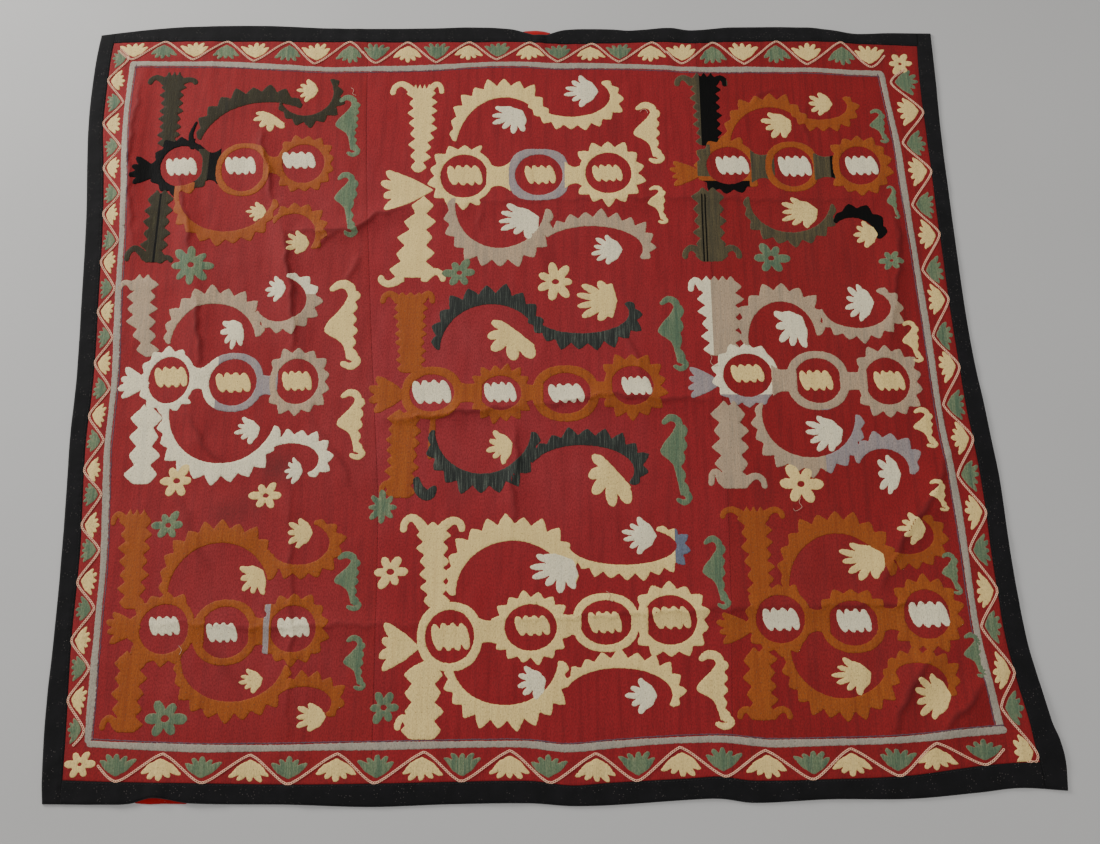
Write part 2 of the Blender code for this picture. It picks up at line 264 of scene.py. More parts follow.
# Sharp pressed lines on and beside the main creases
PINCHES = (
    Fold("left stripe crease", ((-563, 440), (-568, 350), (-560, 270), (-554, 230), (-543, 180)), 2.8, 1.2),
    Fold("second left crease", ((-497, 292), (-481, 243), (-470, 195), (-463, 150)), 2.8, 1.2),
    Fold("second left crease, end", ((-455, 118), (-447, 70), (-438, 12)), 3.0, 1.7),
    Fold("second left crease, foot", ((-450, -55), (-424, -98), (-392, -124)), 3.4, 1.1),
    Fold("third left crease", ((-387, 365), (-377, 322), (-367, 290), (-361, 246)), 2.6, 1.5),
    Fold(
        "third left crease, lower", ((-343, 212), (-336, 172), (-328, 135), (-321, 88), (-315, 30)), 3.0, 1.8
    ),
    Fold("slant by the left seam", ((-287, -62), (-262, -95), (-244, -122), (-226, -165)), 3.0, 0.9),
    Fold("kink", ((-335, 203), (-290, 206), (-258, 204), (-236, 214), (-214, 230), (-168, 243)), 2.6, 1.4),
    Fold("kink's branch", ((-262, 206), (-280, 197), (-300, 178)), 2.6, 0.9),
    Fold("upper quarter", ((-158, 246), (-60, 250), (60, 253), (200, 256), (330, 251), (478, 254)), 2.4, 0.7),
    Fold("middle left", ((-196, -66), (-130, -60), (-86, -53), (-52, -51), (-8, -44)), 2.6, 1.4),
    Fold("middle right", ((-8, -45), (36, -42), (78, -32), (106, -31), (150, -36), (236, -37)), 2.6, 1.5),
    Fold(
        "lower quarter left", ((-470, -326), (-420, -325), (-340, -331), (-240, -327), (-120, -328)), 2.4, 0.8
    ),
    Fold("lower quarter right", ((-58, -321), (40, -318), (150, -312), (262, -307), (345, -304)), 2.4, 0.9),
    Fold("lower quarter end", ((345, -304), (430, -303), (497, -299)), 2.6, 1.3),
    Fold("short upright", ((-22, -70), (-19, -106), (-25, -150), (-22, -206)), 2.6, 1.4),
    Fold("bottom left upright", ((-309, -152), (-303, -215), (-294, -330), (-291, -468)), 2.6, 1.0),
    Fold("right stripe", ((493, 246), (499, 186), (486, 112), (472, 42)), 3.0, 1.3),
    Fold("right slant", ((539, -100), (508, -168), (470, -212), (431, -284)), 3.4, 1.5),
    Fold("corner slant", ((484, -368), (456, -402), (433, -452)), 3.6, 1.7),
    Fold("last slant", ((548, -396), (508, -436), (489, -456)), 3.4, 1.5),
    Fold("faded diagonal", ((-452, -152), (-432, -205), (-402, -262)), 6.0, 0.8),
    Fold("second faded diagonal", ((-404, -336), (-372, -378), (-352, -404)), 6.0, 0.7),
    Fold("top right curl", ((302, 400), (318, 418), (346, 430)), 3.4, 0.7),
    Fold("top right line", ((384, 404), (383, 366), (388, 330)), 3.0, 0.7),
    Fold("centre diagonal", ((-62, 42), (-44, 22), (-32, -2)), 3.0, 0.6),
    Fold("small centre crease", ((120, 56), (137, 28), (141, -8)), 2.6, 1.0),
    Fold("seam line top", ((-236, 170), (-246, 146), (-252, 120)), 4.0, 0.9),
    Fold("left notch line", ((-332, -296), (-327, -318), (-330, -338)), 3.0, 0.8),
    Fold("dent", ((-72, 236), (-77, 218), (-70, 204)), 2.6, 0.7),
)

FADED_SPOTS = (
    Spot(-190, 10, 95, 0.85),
    Spot(-185, -110, 80, 0.6),
    Spot(-90, 20, 110, 0.75),
    Spot(-40, -110, 110, 0.45),
    Spot(-190, 230, 90, 0.4),
    Spot(-330, 240, 95, 0.75),
    Spot(-410, 130, 85, 0.45),
    Spot(-300, 90, 80, 0.55),
    Spot(-460, -10, 90, 0.3),
    Spot(-400, -230, 130, 0.65),
    Spot(-300, -350, 110, 0.7),
    Spot(-460, -380, 100, 0.5),
    Spot(-240, -100, 80, 0.6),
    Spot(60, -120, 110, 0.5),
    Spot(110, 60, 90, 0.35),
    Spot(20, 230, 120, 0.25),
    Spot(390, 200, 110, 0.3),
    Spot(330, -260, 100, 0.5),
    Spot(440, -350, 100, 0.45),
    Spot(400, 30, 110, 0.2),
)

STAINS = (
    Spot(-327, -128, 22, 0.8),
    Spot(-386, -188, 18, 0.6),
    Spot(-352, -178, 16, 0.35),
    Spot(-90, -158, 20, 0.25),
)


class EdgeCurve:
    """A column of an edge table as a smooth curve, the same curve as in the solids."""

    def __init__(self, rows: Sequence, column: str, offset: float = 0.0) -> None:
        """Reads the column.

        Args:
            rows: the table.
            column: the name of its column.
            offset: a distance added to every value.
        """
        self.places = np.array([row.along for row in rows], float)
        self.values = np.array([getattr(row, column) for row in rows], float)
        self.offset = offset

    def __call__(self, along: np.ndarray) -> np.ndarray:
        """Gives the edge's place.

        Args:
            along: places along the edge.

        Returns:
            The values there.
        """
        places, values = self.places, self.values
        at = np.clip(np.asarray(along, float), places[0], places[-1])
        index = np.clip(np.searchsorted(places, at, side="right") - 1, 0, len(places) - 2)
        before = np.maximum(index - 1, 0)
        after = np.minimum(index + 2, len(places) - 1)
        step = places[index + 1] - places[index]
        start = (values[index + 1] - values[before]) / (places[index + 1] - places[before])
        end = (values[after] - values[index]) / (places[after] - places[index])
        t = (at - places[index]) / step
        curve = values[index] * (2 * t**3 - 3 * t**2 + 1) + start * step * (t**3 - 2 * t**2 + t)
        curve += values[index + 1] * (3 * t**2 - 2 * t**3) + end * step * (t**3 - t**2)
        return curve + self.offset


@dataclass
class ClothLie:
    """How the cloth lies: one height for every place, which all cloth and thread follows."""

    lining: float = 1.0
    gap: float = 0.3
    ground: float = 1.4
    strip: float = 2.2
    end_share: float = 0.35
    seam_dip: float = 0.18
    seam_width: float = 1.3
    ripple: float = 0.2
    pinch_scale: float = 1.7
    seed: int = 11
    ripples: list = field(default_factory=list)

    def __post_init__(self) -> None:
        """Draws the small random ripples."""
        draw = np.random.default_rng(self.seed)
        for _ in range(22):
            length = draw.uniform(26, 120)
            turn = draw.uniform(0, math.pi)
            size = self.ripple * draw.uniform(0.5, 1.0) * (length / 90) ** 0.5
            wave = 2 * math.pi / length
            self.ripples.append((wave * math.cos(turn), wave * math.sin(turn), draw.uniform(0, 6.28), size))
        self.left_seam = EdgeCurve(LEFT_SEAM, "across")
        self.right_seam = EdgeCurve(RIGHT_SEAM, "across")

    def fold_height(self, fold: Fold, x: np.ndarray, y: np.ndarray, sharp: bool = False) -> np.ndarray:
        """How far a fold lifts each place.

        Args:
            fold: the fold.
            x: places across.
            y: places up.
            sharp: whether it fades out to nothing at its ends, as a pressed line does.

        Returns:
            Heights in millimetres.
        """
        legs = list(zip(fold.route, fold.route[1:]))
        lengths = [math.dist(a, b) for a, b in legs]
        nearest = np.full(x.shape, np.inf)
        share = np.zeros(x.shape)
        passed = 0.0
        for ((ax, ay), (bx, by)), length in zip(legs, lengths):
            t = np.clip(((x - ax) * (bx - ax) + (y - ay) * (by - ay)) / length**2, 0.0, 1.0)
            distance = np.hypot(x - ax - (bx - ax) * t, y - ay - (by - ay) * t)
            closer = distance < nearest
            nearest = np.where(closer, distance, nearest)
            share = np.where(closer, (passed + t * length) / sum(lengths), share)
            passed += length
        low = 0.0 if sharp else self.end_share
        fading = low + (1.0 - low) * np.sin(np.pi * share) ** (0.5 if sharp else 1.0)
        return fold.height * fading * np.exp(-((nearest / fold.half_width) ** 2))

    def pinch(self, x: np.ndarray, y: np.ndarray) -> np.ndarray:
        """The pressed lines' height at each place, in millimetres.

        Args:
            x: places across, in millimetres.
            y: places up, in millimetres.

        Returns:
            The height that the pressed lines add.
        """
        wobble_x = x + 1.6 * np.sin(y / 9.0 + x / 37.0) + 1.0 * np.sin(y / 4.1)
        wobble_y = y + 1.6 * np.sin(x / 8.0 + y / 31.0) + 1.0 * np.sin(x / 3.7)
        each = [self.fold_height(fold, wobble_x, wobble_y, True) for fold in PINCHES]
        return self.pinch_scale * np.max(each, axis=0)

    def underside(self, x: np.ndarray, y: np.ndarray) -> np.ndarray:
        """Height of the cloth's underside at each place, in millimetres.

        Args:
            x: places across, in millimetres.
            y: places up, in millimetres.

        Returns:
            The underside's height.
        """
        swelling = np.sum([self.fold_height(fold, x, y) for fold in SWELLINGS], axis=0)
        crease = np.max([self.fold_height(fold, x, y) for fold in CREASES], axis=0)
        ripple = np.sum([a * np.sin(u * x + v * y + p) for u, v, p, a in self.ripples], axis=0)
        return self.lining + self.gap + swelling + crease + np.maximum(ripple, -0.2) + self.pinch(x, y)

    def seam(self, x: np.ndarray, y: np.ndarray) -> np.ndarray:
        """How far the two seams draw the cloth down at each place, in millimetres."""
        nearest = np.minimum(np.abs(x - self.left_seam(y)), np.abs(x - self.right_seam(y)))
        pucker = 1.0 + 0.35 * np.sin(y / 2.3) * np.sin(y / 17.0)
        return self.seam_dip * pucker * np.exp(-((nearest / self.seam_width) ** 2))

    def face(self, x: np.ndarray, y: np.ndarray) -> np.ndarray:
        """Height of the ground's upper face at each place, in millimetres."""
        return self.underside(x, y) + self.ground - self.seam(x, y)


# Meshes


def make_piece(name: str, points: np.ndarray, faces: Iterable, materials: Sequence) -> bpy.types.Object:
    """Makes a smooth mesh object.

    Args:
        name: the piece's name.
        points: its points in millimetres.
        faces: index tuples.
        materials: its materials.

    Returns:
        The object, in the scene.
    """
    mesh = bpy.data.meshes.new(name)
    mesh.from_pydata((np.asarray(points) * MM).tolist(), [], [tuple(map(int, f)) for f in faces])
    for material in materials:
        mesh.materials.append(material)
    mesh.shade_smooth()
    mesh.update()
    piece = bpy.data.objects.new(name, mesh)
    bpy.context.scene.collection.objects.link(piece)
    return piece


def paint(piece: bpy.types.Object, name: str, values: np.ndarray) -> None:
    """Stores a number for each point of a piece, which its material reads."""
    layer = piece.data.attributes.new(name, "FLOAT", "POINT")
    layer.data.foreach_set("value", np.asarray(values, np.float32))


def spots_at(spots: Sequence[Spot], x: np.ndarray, y: np.ndarray) -> np.ndarray:
    """The strongest of some soft spots at each place, 0 to 1."""
    each = [s.strength * np.exp(-(((x - s.x) ** 2 + (y - s.y) ** 2) / s.radius**2)) for s in spots]
    return np.clip(1 - np.prod([1 - value for value in each], axis=0), 0, 1)


def triangulate(points: np.ndarray, edges: Sequence, tolerance: float = 1e-4) -> tuple:
    """Splits a plan into triangles that keep the given edges.

    Args:
        points: plan points.
        edges: index pairs to keep.
        tolerance: points nearer than this are one.

    Returns:
        The points, the triangles, and the output point of each input point.
    """
    made = delaunay_2d_cdt([Vector(p) for p in points.tolist()], list(edges), [], 0, tolerance, True)
    places = np.array([tuple(v) for v in made[0]], float)
    triangles = np.array([f for f in made[2] if len(f) == 3], int)
    landed = np.zeros(len(points), int)
    for index, sources in enumerate(made[3]):
        for source in sources:
            if source < len(points):
                landed[source] = index
    return places, triangles, landed


def inside(loop: np.ndarray, points: np.ndarray) -> np.ndarray:
    """Which points lie inside a closed loop.

    Args:
        loop: the closed loop.
        points: the points to test.

    Returns:
        True for each point that lies inside.
    """
    result = np.zeros(len(points), bool)
    low, high = loop.min(0), loop.max(0)
    near = np.nonzero(((points >= low) & (points <= high)).all(1))[0]
    if not len(near):
        return result
    px, py = points[near, 0][:, None], points[near, 1][:, None]
    ax, ay = loop[:, 0][None], loop[:, 1][None]
    bx, by = np.roll(loop, -1, 0)[:, 0][None], np.roll(loop, -1, 0)[:, 1][None]
    rise = np.where(by == ay, 1e-12, by - ay)
    crosses = ((ay > py) != (by > py)) & (px < (bx - ax) * (py - ay) / rise + ax)
    result[near] = crosses.sum(1) % 2 == 1
    return result


def ring_edges(start: int, count: int) -> list:
    """The edges of a closed loop of points that are numbered in a row."""
    return [(start + i, start + (i + 1) % count) for i in range(count)]


def close_below(points: np.ndarray, loop: Sequence[int], floor: Callable, step: float) -> tuple:
    """Closes a sheet's underside with a coarse mesh between the points of its rim.

    Args:
        points: the upper face's points.
        loop: the rim's point numbers, in turn.
        floor: gives the underside's height at places x and y.
        step: the coarse mesh's step.

    Returns:
        New points, and triangles and rim walls in the numbers of old and new points together.
    """
    rim = points[list(loop), :2]
    low, high = rim.min(0), rim.max(0)
    grid = np.stack(np.meshgrid(np.arange(low[0], high[0], step), np.arange(low[1], high[1], step)), -1)
    grid = grid.reshape(-1, 2)
    grid = grid[inside(rim, grid)]
    plan, triangles, landed = triangulate(np.vstack([rim, grid]), ring_edges(0, len(rim)))
    middle = plan[triangles].mean(1)
    triangles = triangles[inside(rim, middle)]
    height = floor(plan[:, 0], plan[:, 1])
    fresh = np.column_stack([plan, height])
    start = len(points)
    faces = [tuple(start + i for i in t[::-1]) for t in triangles]
    count = len(loop)
    for i in range(count):
        j = (i + 1) % count
        faces.append((loop[j], loop[i], start + landed[i], start + landed[j]))
    return fresh, faces


# Materials


class Desk:
    """A small workbench for one material's nodes."""

    def __init__(self, name: str) -> None:
        """Opens a material with one Principled shader and Object coordinates.

        Args:
            name: the material's name.
        """
        self.material = bpy.data.materials.new(name)
        self.material.use_nodes = True
        self.tree = self.material.node_tree
        self.shader = self.tree.nodes["Principled BSDF"]
        self.coordinates = self.node("ShaderNodeTexCoord").outputs["Object"]

    def node(self, kind: str, **settings) -> bpy.types.Node:
        """Adds a node and sets its own properties.

        Args:
            kind: the node's type.
            **settings: its own properties.

        Returns:
            The node.
        """
        made = self.tree.nodes.new(kind)
        for key, value in settings.items():
            setattr(made, key, value)
        return made

    def set(self, socket: bpy.types.NodeSocket, value: Feed) -> None:
        """Links a socket to another, or sets its value.

        Args:
            socket: the socket to feed.
            value: another socket, a number or a colour.
        """
        if isinstance(value, bpy.types.NodeSocket):
            self.tree.links.new(value, socket)
        elif isinstance(value, tuple) and len(value) == 3 and socket.type == "RGBA":
            socket.default_value = (*value, 1.0)
        else:
            socket.default_value = value

    def stretched(self, wide: float, long: float, turn: float = 0.0) -> bpy.types.NodeSocket:
        """Coordinates in which a cell is wide by long millimetres, turned by some degrees.

        Args:
            wide: the cell's width.
            long: the cell's length.
            turn: the turn in degrees.

        Returns:
            The stretched coordinates.
        """
        turned = self.node("ShaderNodeMapping", vector_type="TEXTURE")
        self.set(turned.inputs["Vector"], self.coordinates)
        turned.inputs["Rotation"].default_value = (0.0, 0.0, math.radians(turn))
        scaled = self.node("ShaderNodeMapping")
        self.set(scaled.inputs["Vector"], turned.outputs[0])
        scaled.inputs["Scale"].default_value = (1 / (wide * MM), 1 / (long * MM), 0.0)
        return scaled.outputs[0]

    def noise(self, wide: float, long: float, detail: float = 2.0, turn: float = 0.0) -> bpy.types.NodeSocket:
        """Noise with cells of wide by long millimetres.

        Args:
            wide: the cell's width.
            long: the cell's length.
            detail: the number of finer layers.
            turn: the turn in degrees.

        Returns:
            The noise, 0 to 1.
        """
        made = self.node("ShaderNodeTexNoise", noise_dimensions="2D")
        self.set(made.inputs["Vector"], self.stretched(wide, long, turn))
        made.inputs["Scale"].default_value = 1.0
        made.inputs["Detail"].default_value = detail
        return made.outputs["Fac"]

    def dots(self, wide: float, long: float, turn: float, size: float, spread: float) -> bpy.types.NodeSocket:
        """Scattered short marks, 1 at their middle and 0 outside.

        Args:
            wide: the cell's width.
            long: the cell's length.
            turn: the turn in degrees.
            size: the mark's reach in its cell.
            spread: how far the marks leave their rows, 0 to 1.

        Returns:
            The marks, 0 to 1.
        """
        made = self.node("ShaderNodeTexVoronoi", voronoi_dimensions="2D")
        self.set(made.inputs["Vector"], self.stretched(wide, long, turn))
        made.inputs["Scale"].default_value = 1.0
        made.inputs["Randomness"].default_value = spread
        return self.ramp(made.outputs["Distance"], size, 0.0)

    def ramp(self, value: Feed, start: float, end: float) -> bpy.types.NodeSocket:
        """A clamped line that is 0 where the value is start and 1 where it is end.

        Args:
            value: the number to clamp.
            start: where the result is 0.
            end: where it is 1.

        Returns:
            The clamped number.
        """
        made = self.node("ShaderNodeMapRange", clamp=True)
        self.set(made.inputs["Value"], value)
        made.inputs["From Min"].default_value = start
        made.inputs["From Max"].default_value = end
        return made.outputs[0]

    def maths(self, kind: str, first: Feed, second: Feed) -> bpy.types.NodeSocket:
        """Joins two numbers.

        Args:
            kind: the operation.
            first: the first number.
            second: the second number.

        Returns:
            The result.
        """
        made = self.node("ShaderNodeMath", operation=kind)
        self.set(made.inputs[0], first)
        self.set(made.inputs[1], second)
        return made.outputs[0]

    def mix(self, share: Feed, first: Feed, second: Feed, blend: str = "MIX") -> bpy.types.NodeSocket:
        """Mixes two colours.

        Args:
            share: how much of the second colour shows.
            first: the first colour.
            second: the second colour.
            blend: the way that they blend.

        Returns:
            The mixed colour.
        """
        made = self.node("ShaderNodeMix", data_type="RGBA", blend_type=blend)
        self.set(made.inputs["Factor"], share)
        self.set(made.inputs[6], first)
        self.set(made.inputs[7], second)
        return made.outputs[2]

    def attribute(self, name: str) -> bpy.types.NodeSocket:
        """A number stored on the mesh."""
        return self.node("ShaderNodeAttribute", attribute_name=name).outputs["Fac"]

    def finish(
        self, colour: Feed, roughness: Feed, height: Feed, depth: float, strength: float
    ) -> bpy.types.Material:
        """Wires the shader.

        Args:
            colour: the base colour.
            roughness: the roughness.
            height: the relief, 0 to 1.
            depth: the relief's depth in millimetres.
            strength: the bump's strength.

        Returns:
            The material.
        """
        bump = self.node("ShaderNodeBump")
        bump.inputs["Strength"].default_value = strength
        bump.inputs["Distance"].default_value = depth * MM
        self.set(bump.inputs["Height"], height)
        self.set(self.shader.inputs["Base Color"], colour)
        self.set(self.shader.inputs["Roughness"], roughness)
        self.set(self.shader.inputs["Normal"], bump.outputs[0])
        return self.material


@dataclass(frozen=True)
class CouchedFinish:
    """Couched thread: laid threads run upright, in streaks of two tones, held by small tie stitches."""

    name: str
    tone: Colour
    second: Colour
    streak: Colour
    streaks: float = 0.3
    bands: float = 0.5
    # strength of the painted shade at the tie stitches
    ties: float = 0.25
    streak_width: float = 1.2
    roughness: float = 0.72
    sheen: float = 0.15
    faded: Optional[Colour] = None
    edge: Colour = (0.5, 0.3, 0.2)
    outline: float = 0.0
    specular: float = 0.35

    def material(self) -> bpy.types.Material:
        """Builds the material.

        Returns:
            The material.
        """
        desk = Desk(self.name)
        bands = desk.ramp(desk.noise(7.0, 110.0, 3.0), 0.62 - self.bands * 0.4, 0.62 + self.bands * 0.2)
        colour = desk.mix(bands, self.tone, self.second)
        if self.faded is not None:
            cloud = desk.ramp(desk.noise(26.0, 70.0, 4.0), 0.3, 0.75)
            fade = desk.maths("MULTIPLY", desk.attribute("fade"), desk.maths("MULTIPLY_ADD", cloud, 0.35))
            colour = desk.mix(fade, colour, self.faded)
        streak = desk.ramp(desk.noise(self.streak_width, 34.0, 2.0), 0.5, 0.72)
        colour = desk.mix(desk.maths("MULTIPLY", streak, self.streaks), colour, self.streak)
        cloud = desk.ramp(desk.noise(18.0, 30.0, 3.0), 0.35, 0.7)
        colour = desk.mix(desk.maths("MULTIPLY", cloud, 0.16), colour, self.second)
        fleck = desk.ramp(desk.noise(1.5, 2.8, 2.0), 0.4, 0.66)
        colour = desk.mix(desk.maths("MULTIPLY", fleck, 0.42), colour, tuple(0.5 * c for c in self.second))
        # Painted shade: the colour darkens at each tie stitch's dimple, standing in for the shade in it
        ties = desk.dots(2.3, 5.2, 12.0, 0.36, 0.75)
        dark = tuple(0.42 * channel for channel in self.second)
        patchy = desk.ramp(desk.noise(14.0, 22.0, 2.0), 0.38, 0.62)
        painted_tie_shade = desk.maths("MULTIPLY", desk.maths("MULTIPLY", ties, self.ties), patchy)
        colour = desk.mix(painted_tie_shade, colour, dark)
        if self.faded is not None:
            colour = desk.mix(desk.attribute("stain"), colour, srgb(70, 30, 28))
            # painted shade: the colour darkens along the pressed crease lines, where the folds' shade falls
            colour = desk.mix(desk.attribute("painted_crease_shade"), colour, tuple(0.55 * c for c in self.second))
        else:
            tone = desk.maths("MULTIPLY", desk.attribute("tone"), 0.35)
            colour = desk.mix(tone, colour, self.second)
            colour = desk.mix(desk.maths("MULTIPLY", desk.attribute("edge"), self.outline), colour, self.edge)
        laid = desk.noise(0.55, 7.0, 1.0)
        puff = desk.noise(2.6, 5.5, 1.0)
        height = desk.maths("ADD", desk.maths("MULTIPLY", laid, 0.6), desk.maths("MULTIPLY", puff, 0.6))
        height = desk.maths("SUBTRACT", height, desk.maths("MULTIPLY", ties, 0.5))
        rough = desk.maths("MULTIPLY_ADD", laid, 0.16)
        rough.node.inputs[2].default_value = self.roughness - 0.08
        desk.shader.inputs["Sheen Weight"].default_value = self.sheen
        desk.shader.inputs["Sheen Roughness"].default_value = 0.45
        desk.shader.inputs["Specular IOR Level"].default_value = self.specular
        return desk.finish(colour, rough, height, 0.35, 0.55)


@dataclass(frozen=True)
class StripFinish:
    """Plain cotton of the edge strip or the lining: a close weave with lint and slight wear."""

    name: str
    tone: Colour
    worn: Colour
    lint: Colour
    sheen: float = 0.1

    def material(self) -> bpy.types.Material:
        """Builds the material.

        Returns:
            The material.
        """
        desk = Desk(self.name)
        cloud = desk.ramp(desk.noise(22.0, 26.0, 4.0), 0.35, 0.72)
        colour = desk.mix(desk.maths("MULTIPLY", cloud, 0.7), self.tone, self.worn)
        slub = desk.ramp(desk.noise(9.0, 0.8, 2.0), 0.58, 0.8)
        colour = desk.mix(desk.maths("MULTIPLY", slub, 0.35), colour, self.worn)
        lint = desk.dots(5.0, 5.0, 0.0, 0.12, 1.0)
        few = desk.ramp(desk.noise(16.0, 16.0, 1.0), 0.52, 0.66)
        colour = desk.mix(desk.maths("MULTIPLY", lint, few), colour, self.lint)
        warp = desk.noise(0.5, 2.2, 1.0)
        weft = desk.noise(2.2, 0.5, 1.0)
        height = desk.maths("ADD", warp, weft)
        height = desk.maths("ADD", height, desk.noise(9.0, 9.0, 2.0))
        rough = desk.maths("MULTIPLY_ADD", cloud, 0.1)
        rough.node.inputs[2].default_value = 0.84
        desk.shader.inputs["Sheen Weight"].default_value = self.sheen
        desk.shader.inputs["Specular IOR Level"].default_value = 0.14
        return desk.finish(colour, rough, height, 0.3, 0.5)


@dataclass(frozen=True)
class TwistFinish:
    """A single twisted thread, as in the chain stitch, the tie stitches and loose ends."""

    name: str
    tone: Colour
    second: Colour

    def material(self) -> bpy.types.Material:
        """Builds the material.

        Returns:
            The material.
        """
        desk = Desk(self.name)
        colour = desk.mix(desk.ramp(desk.noise(6.0, 9.0, 3.0), 0.35, 0.7), self.tone, self.second)
        ply = desk.noise(0.5, 1.1, 1.0, 35.0)
        desk.shader.inputs["Sheen Weight"].default_value = 0.15
        desk.shader.inputs["Specular IOR Level"].default_value = 0.35
        return desk.finish(colour, 0.7, ply, 0.15, 0.5)


@dataclass(frozen=True)
class FloorFinish:
    """The plain pale floor."""

    name: str = "pale_floor"

    def material(self) -> bpy.types.Material:
        """Builds the material."""
        desk = Desk(self.name)
        colour = desk.mix(desk.noise(300.0, 300.0, 2.0), (0.56, 0.555, 0.545), (0.60, 0.595, 0.585))
        return desk.finish(colour, 0.8, desk.noise(30.0, 30.0, 2.0), 0.05, 0.1)


THREAD_FINISHES = {
    CREAM: CouchedFinish("cream_thread", srgb(255, 224, 144), srgb(238, 206, 132), srgb(206, 186, 132), 0.45),
    WHITE: CouchedFinish("white_thread", srgb(255, 242, 202), srgb(236, 226, 192), srgb(208, 204, 178), 0.4),
    BEIGE: CouchedFinish("beige_thread", srgb(198, 168, 134), srgb(172, 150, 124), srgb(136, 132, 118), 0.6),
    LILAC: CouchedFinish("lilac_thread", srgb(166, 150, 146), srgb(144, 136, 138), srgb(188, 168, 150), 0.5),
    OCHRE: CouchedFinish("ochre_thread", srgb(166, 82, 8), srgb(148, 66, 5), srgb(178, 104, 30), 0.4),
    PINE: CouchedFinish(
        "pine_thread", srgb(36, 42, 36), srgb(26, 30, 27), srgb(104, 112, 98), 0.8,
        edge=srgb(84, 66, 58), outline=0.3,
    ),
    OLIVE: CouchedFinish(
        "olive_thread", srgb(52, 46, 24), srgb(40, 36, 22), srgb(84, 80, 52), 0.5, specular=0.2,
        edge=srgb(92, 52, 40), outline=0.4,
    ),
    MOSS: CouchedFinish(
        "moss_thread", srgb(96, 84, 52), srgb(66, 60, 40), srgb(40, 38, 28), 0.75,
        edge=srgb(130, 116, 84), outline=0.3,
    ),
    TEAL: CouchedFinish(
        "teal_thread", srgb(116, 132, 96), srgb(76, 102, 78), srgb(156, 162, 124), 0.6,
        edge=srgb(150, 140, 106), outline=0.5,
    ),
    BLACK: CouchedFinish(
        "black_thread", srgb(6, 6, 5), srgb(4, 4, 4), srgb(24, 20, 16), 0.4, sheen=0.0, specular=0.14
    ),
    BLUE: CouchedFinish("blue_thread", srgb(112, 120, 136), srgb(94, 104, 126), srgb(146, 148, 152), 0.5),
    ASH: CouchedFinish("ash_thread", srgb(176, 164, 146), srgb(158, 150, 136), srgb(190, 176, 154), 0.3),
    VIOLET: CouchedFinish("violet_thread", srgb(104, 72, 84), srgb(88, 62, 78), srgb(128, 96, 104), 0.4),
}


# Outlines of the motifs


def smooth_path(points: Sequence, step: float = 2.0, closed: bool = False) -> np.ndarray:
    """A smooth curve through some points, with any further columns carried along.

    Args:
        points: rows of x, y and further numbers.
        step: the distance between the points of the result.
        closed: whether the curve comes back to its start.

    Returns:
        The curve's points.
    """
    rows = np.array(points, float)
    count = len(rows)
    if count == 2 and not closed:
        pieces = max(2, int(math.dist(rows[0][:2], rows[1][:2]) / step))
        return np.linspace(rows[0], rows[1], pieces + 1)
    made = []
    for i in range(count if closed else count - 1):
        if closed:
            p0, p1, p2, p3 = (rows[(i + k) % count] for k in (-1, 0, 1, 2))
        else:
            p0, p1, p2, p3 = (rows[min(max(i + k, 0), count - 1)] for k in (-1, 0, 1, 2))
        pieces = max(2, int(math.dist(p1[:2], p2[:2]) / step))
        t = np.linspace(0, 1, pieces, endpoint=False)[:, None]
        curve = (2 * p1 + (p2 - p0) * t + (2 * p0 - 5 * p1 + 4 * p2 - p3) * t**2) / 2
        made.append(curve + (3 * p1 - p0 - 3 * p2 + p3) * t**3 / 2)
    if not closed:
        made.append(rows[-1:])
    return np.vstack(made)


def evened(loop: np.ndarray, step: float) -> np.ndarray:
    """A closed loop with points at even steps.

    Args:
        loop: the closed loop.
        step: the distance between its new points.

    Returns:
        The loop's new points.
    """
    around = np.vstack([loop, loop[:1]])
    legs = np.hypot(*np.diff(around, axis=0).T)
    keep = np.concatenate([[True], legs > 1e-6])
    around = around[keep]
    along = np.concatenate([[0], np.cumsum(legs[keep[1:]])])
    count = max(8, int(along[-1] / step))
    at = np.linspace(0, along[-1], count, endpoint=False)
    return np.column_stack([np.interp(at, along, around[:, 0]), np.interp(at, along, around[:, 1])])


def softened(loop: np.ndarray, passes: int) -> np.ndarray:
    """A closed loop with its corners rounded a little."""
    for _ in range(passes):
        loop = 0.5 * loop + 0.25 * (np.roll(loop, 1, 0) + np.roll(loop, -1, 0))
    return loop


def fitted(loops: Sequence[np.ndarray], box: Sequence[float]) -> list:
    """Loops stretched together to fill a box of left, bottom, right and top.

    Args:
        loops: the loops.
        box: the box to fill.

    Returns:
        The stretched loops.
    """
    every = np.vstack(loops)
    low, high = every.min(0), every.max(0)
    start, end = np.array(box[:2], float), np.array(box[2:], float)
    return [start + (loop - low) / (high - low) * (end - start) for loop in loops]


def ellipse(centre: Sequence[float], radii: Sequence[float], turn: float = 0.0) -> np.ndarray:
    """A closed ellipse.

    Args:
        centre: its centre.
        radii: its half width and half height.
        turn: its turn in radians.

    Returns:
        Its points, anticlockwise.
    """
    angle = np.linspace(0, 2 * math.pi, 40, endpoint=False)
    x, y = radii[0] * np.cos(angle), radii[1] * np.sin(angle)
    c, s = math.cos(turn), math.sin(turn)
    return np.column_stack([centre[0] + c * x - s * y, centre[1] + s * x + c * y])


def ribbon(path: Sequence) -> np.ndarray:
    """The outline of a band that follows a path of x, y and width, with round ends.

    Args:
        path: rows of x, y and width.

    Returns:
        The outline's points.
    """
    line = smooth_path(path, 1.5)
    along = np.gradient(line[:, :2], axis=0)
    along /= np.maximum(np.hypot(*along.T), 1e-9)[:, None]
    side = np.column_stack([-along[:, 1], along[:, 0]]) * line[:, 2:3] / 2
    start = line[0, :2] - along[0] * line[0, 2] * 0.35
    end = line[-1, :2] + along[-1] * line[-1, 2] * 0.35
    return np.vstack([line[:, :2] + side, end[None], (line[:, :2] - side)[::-1], start[None]])


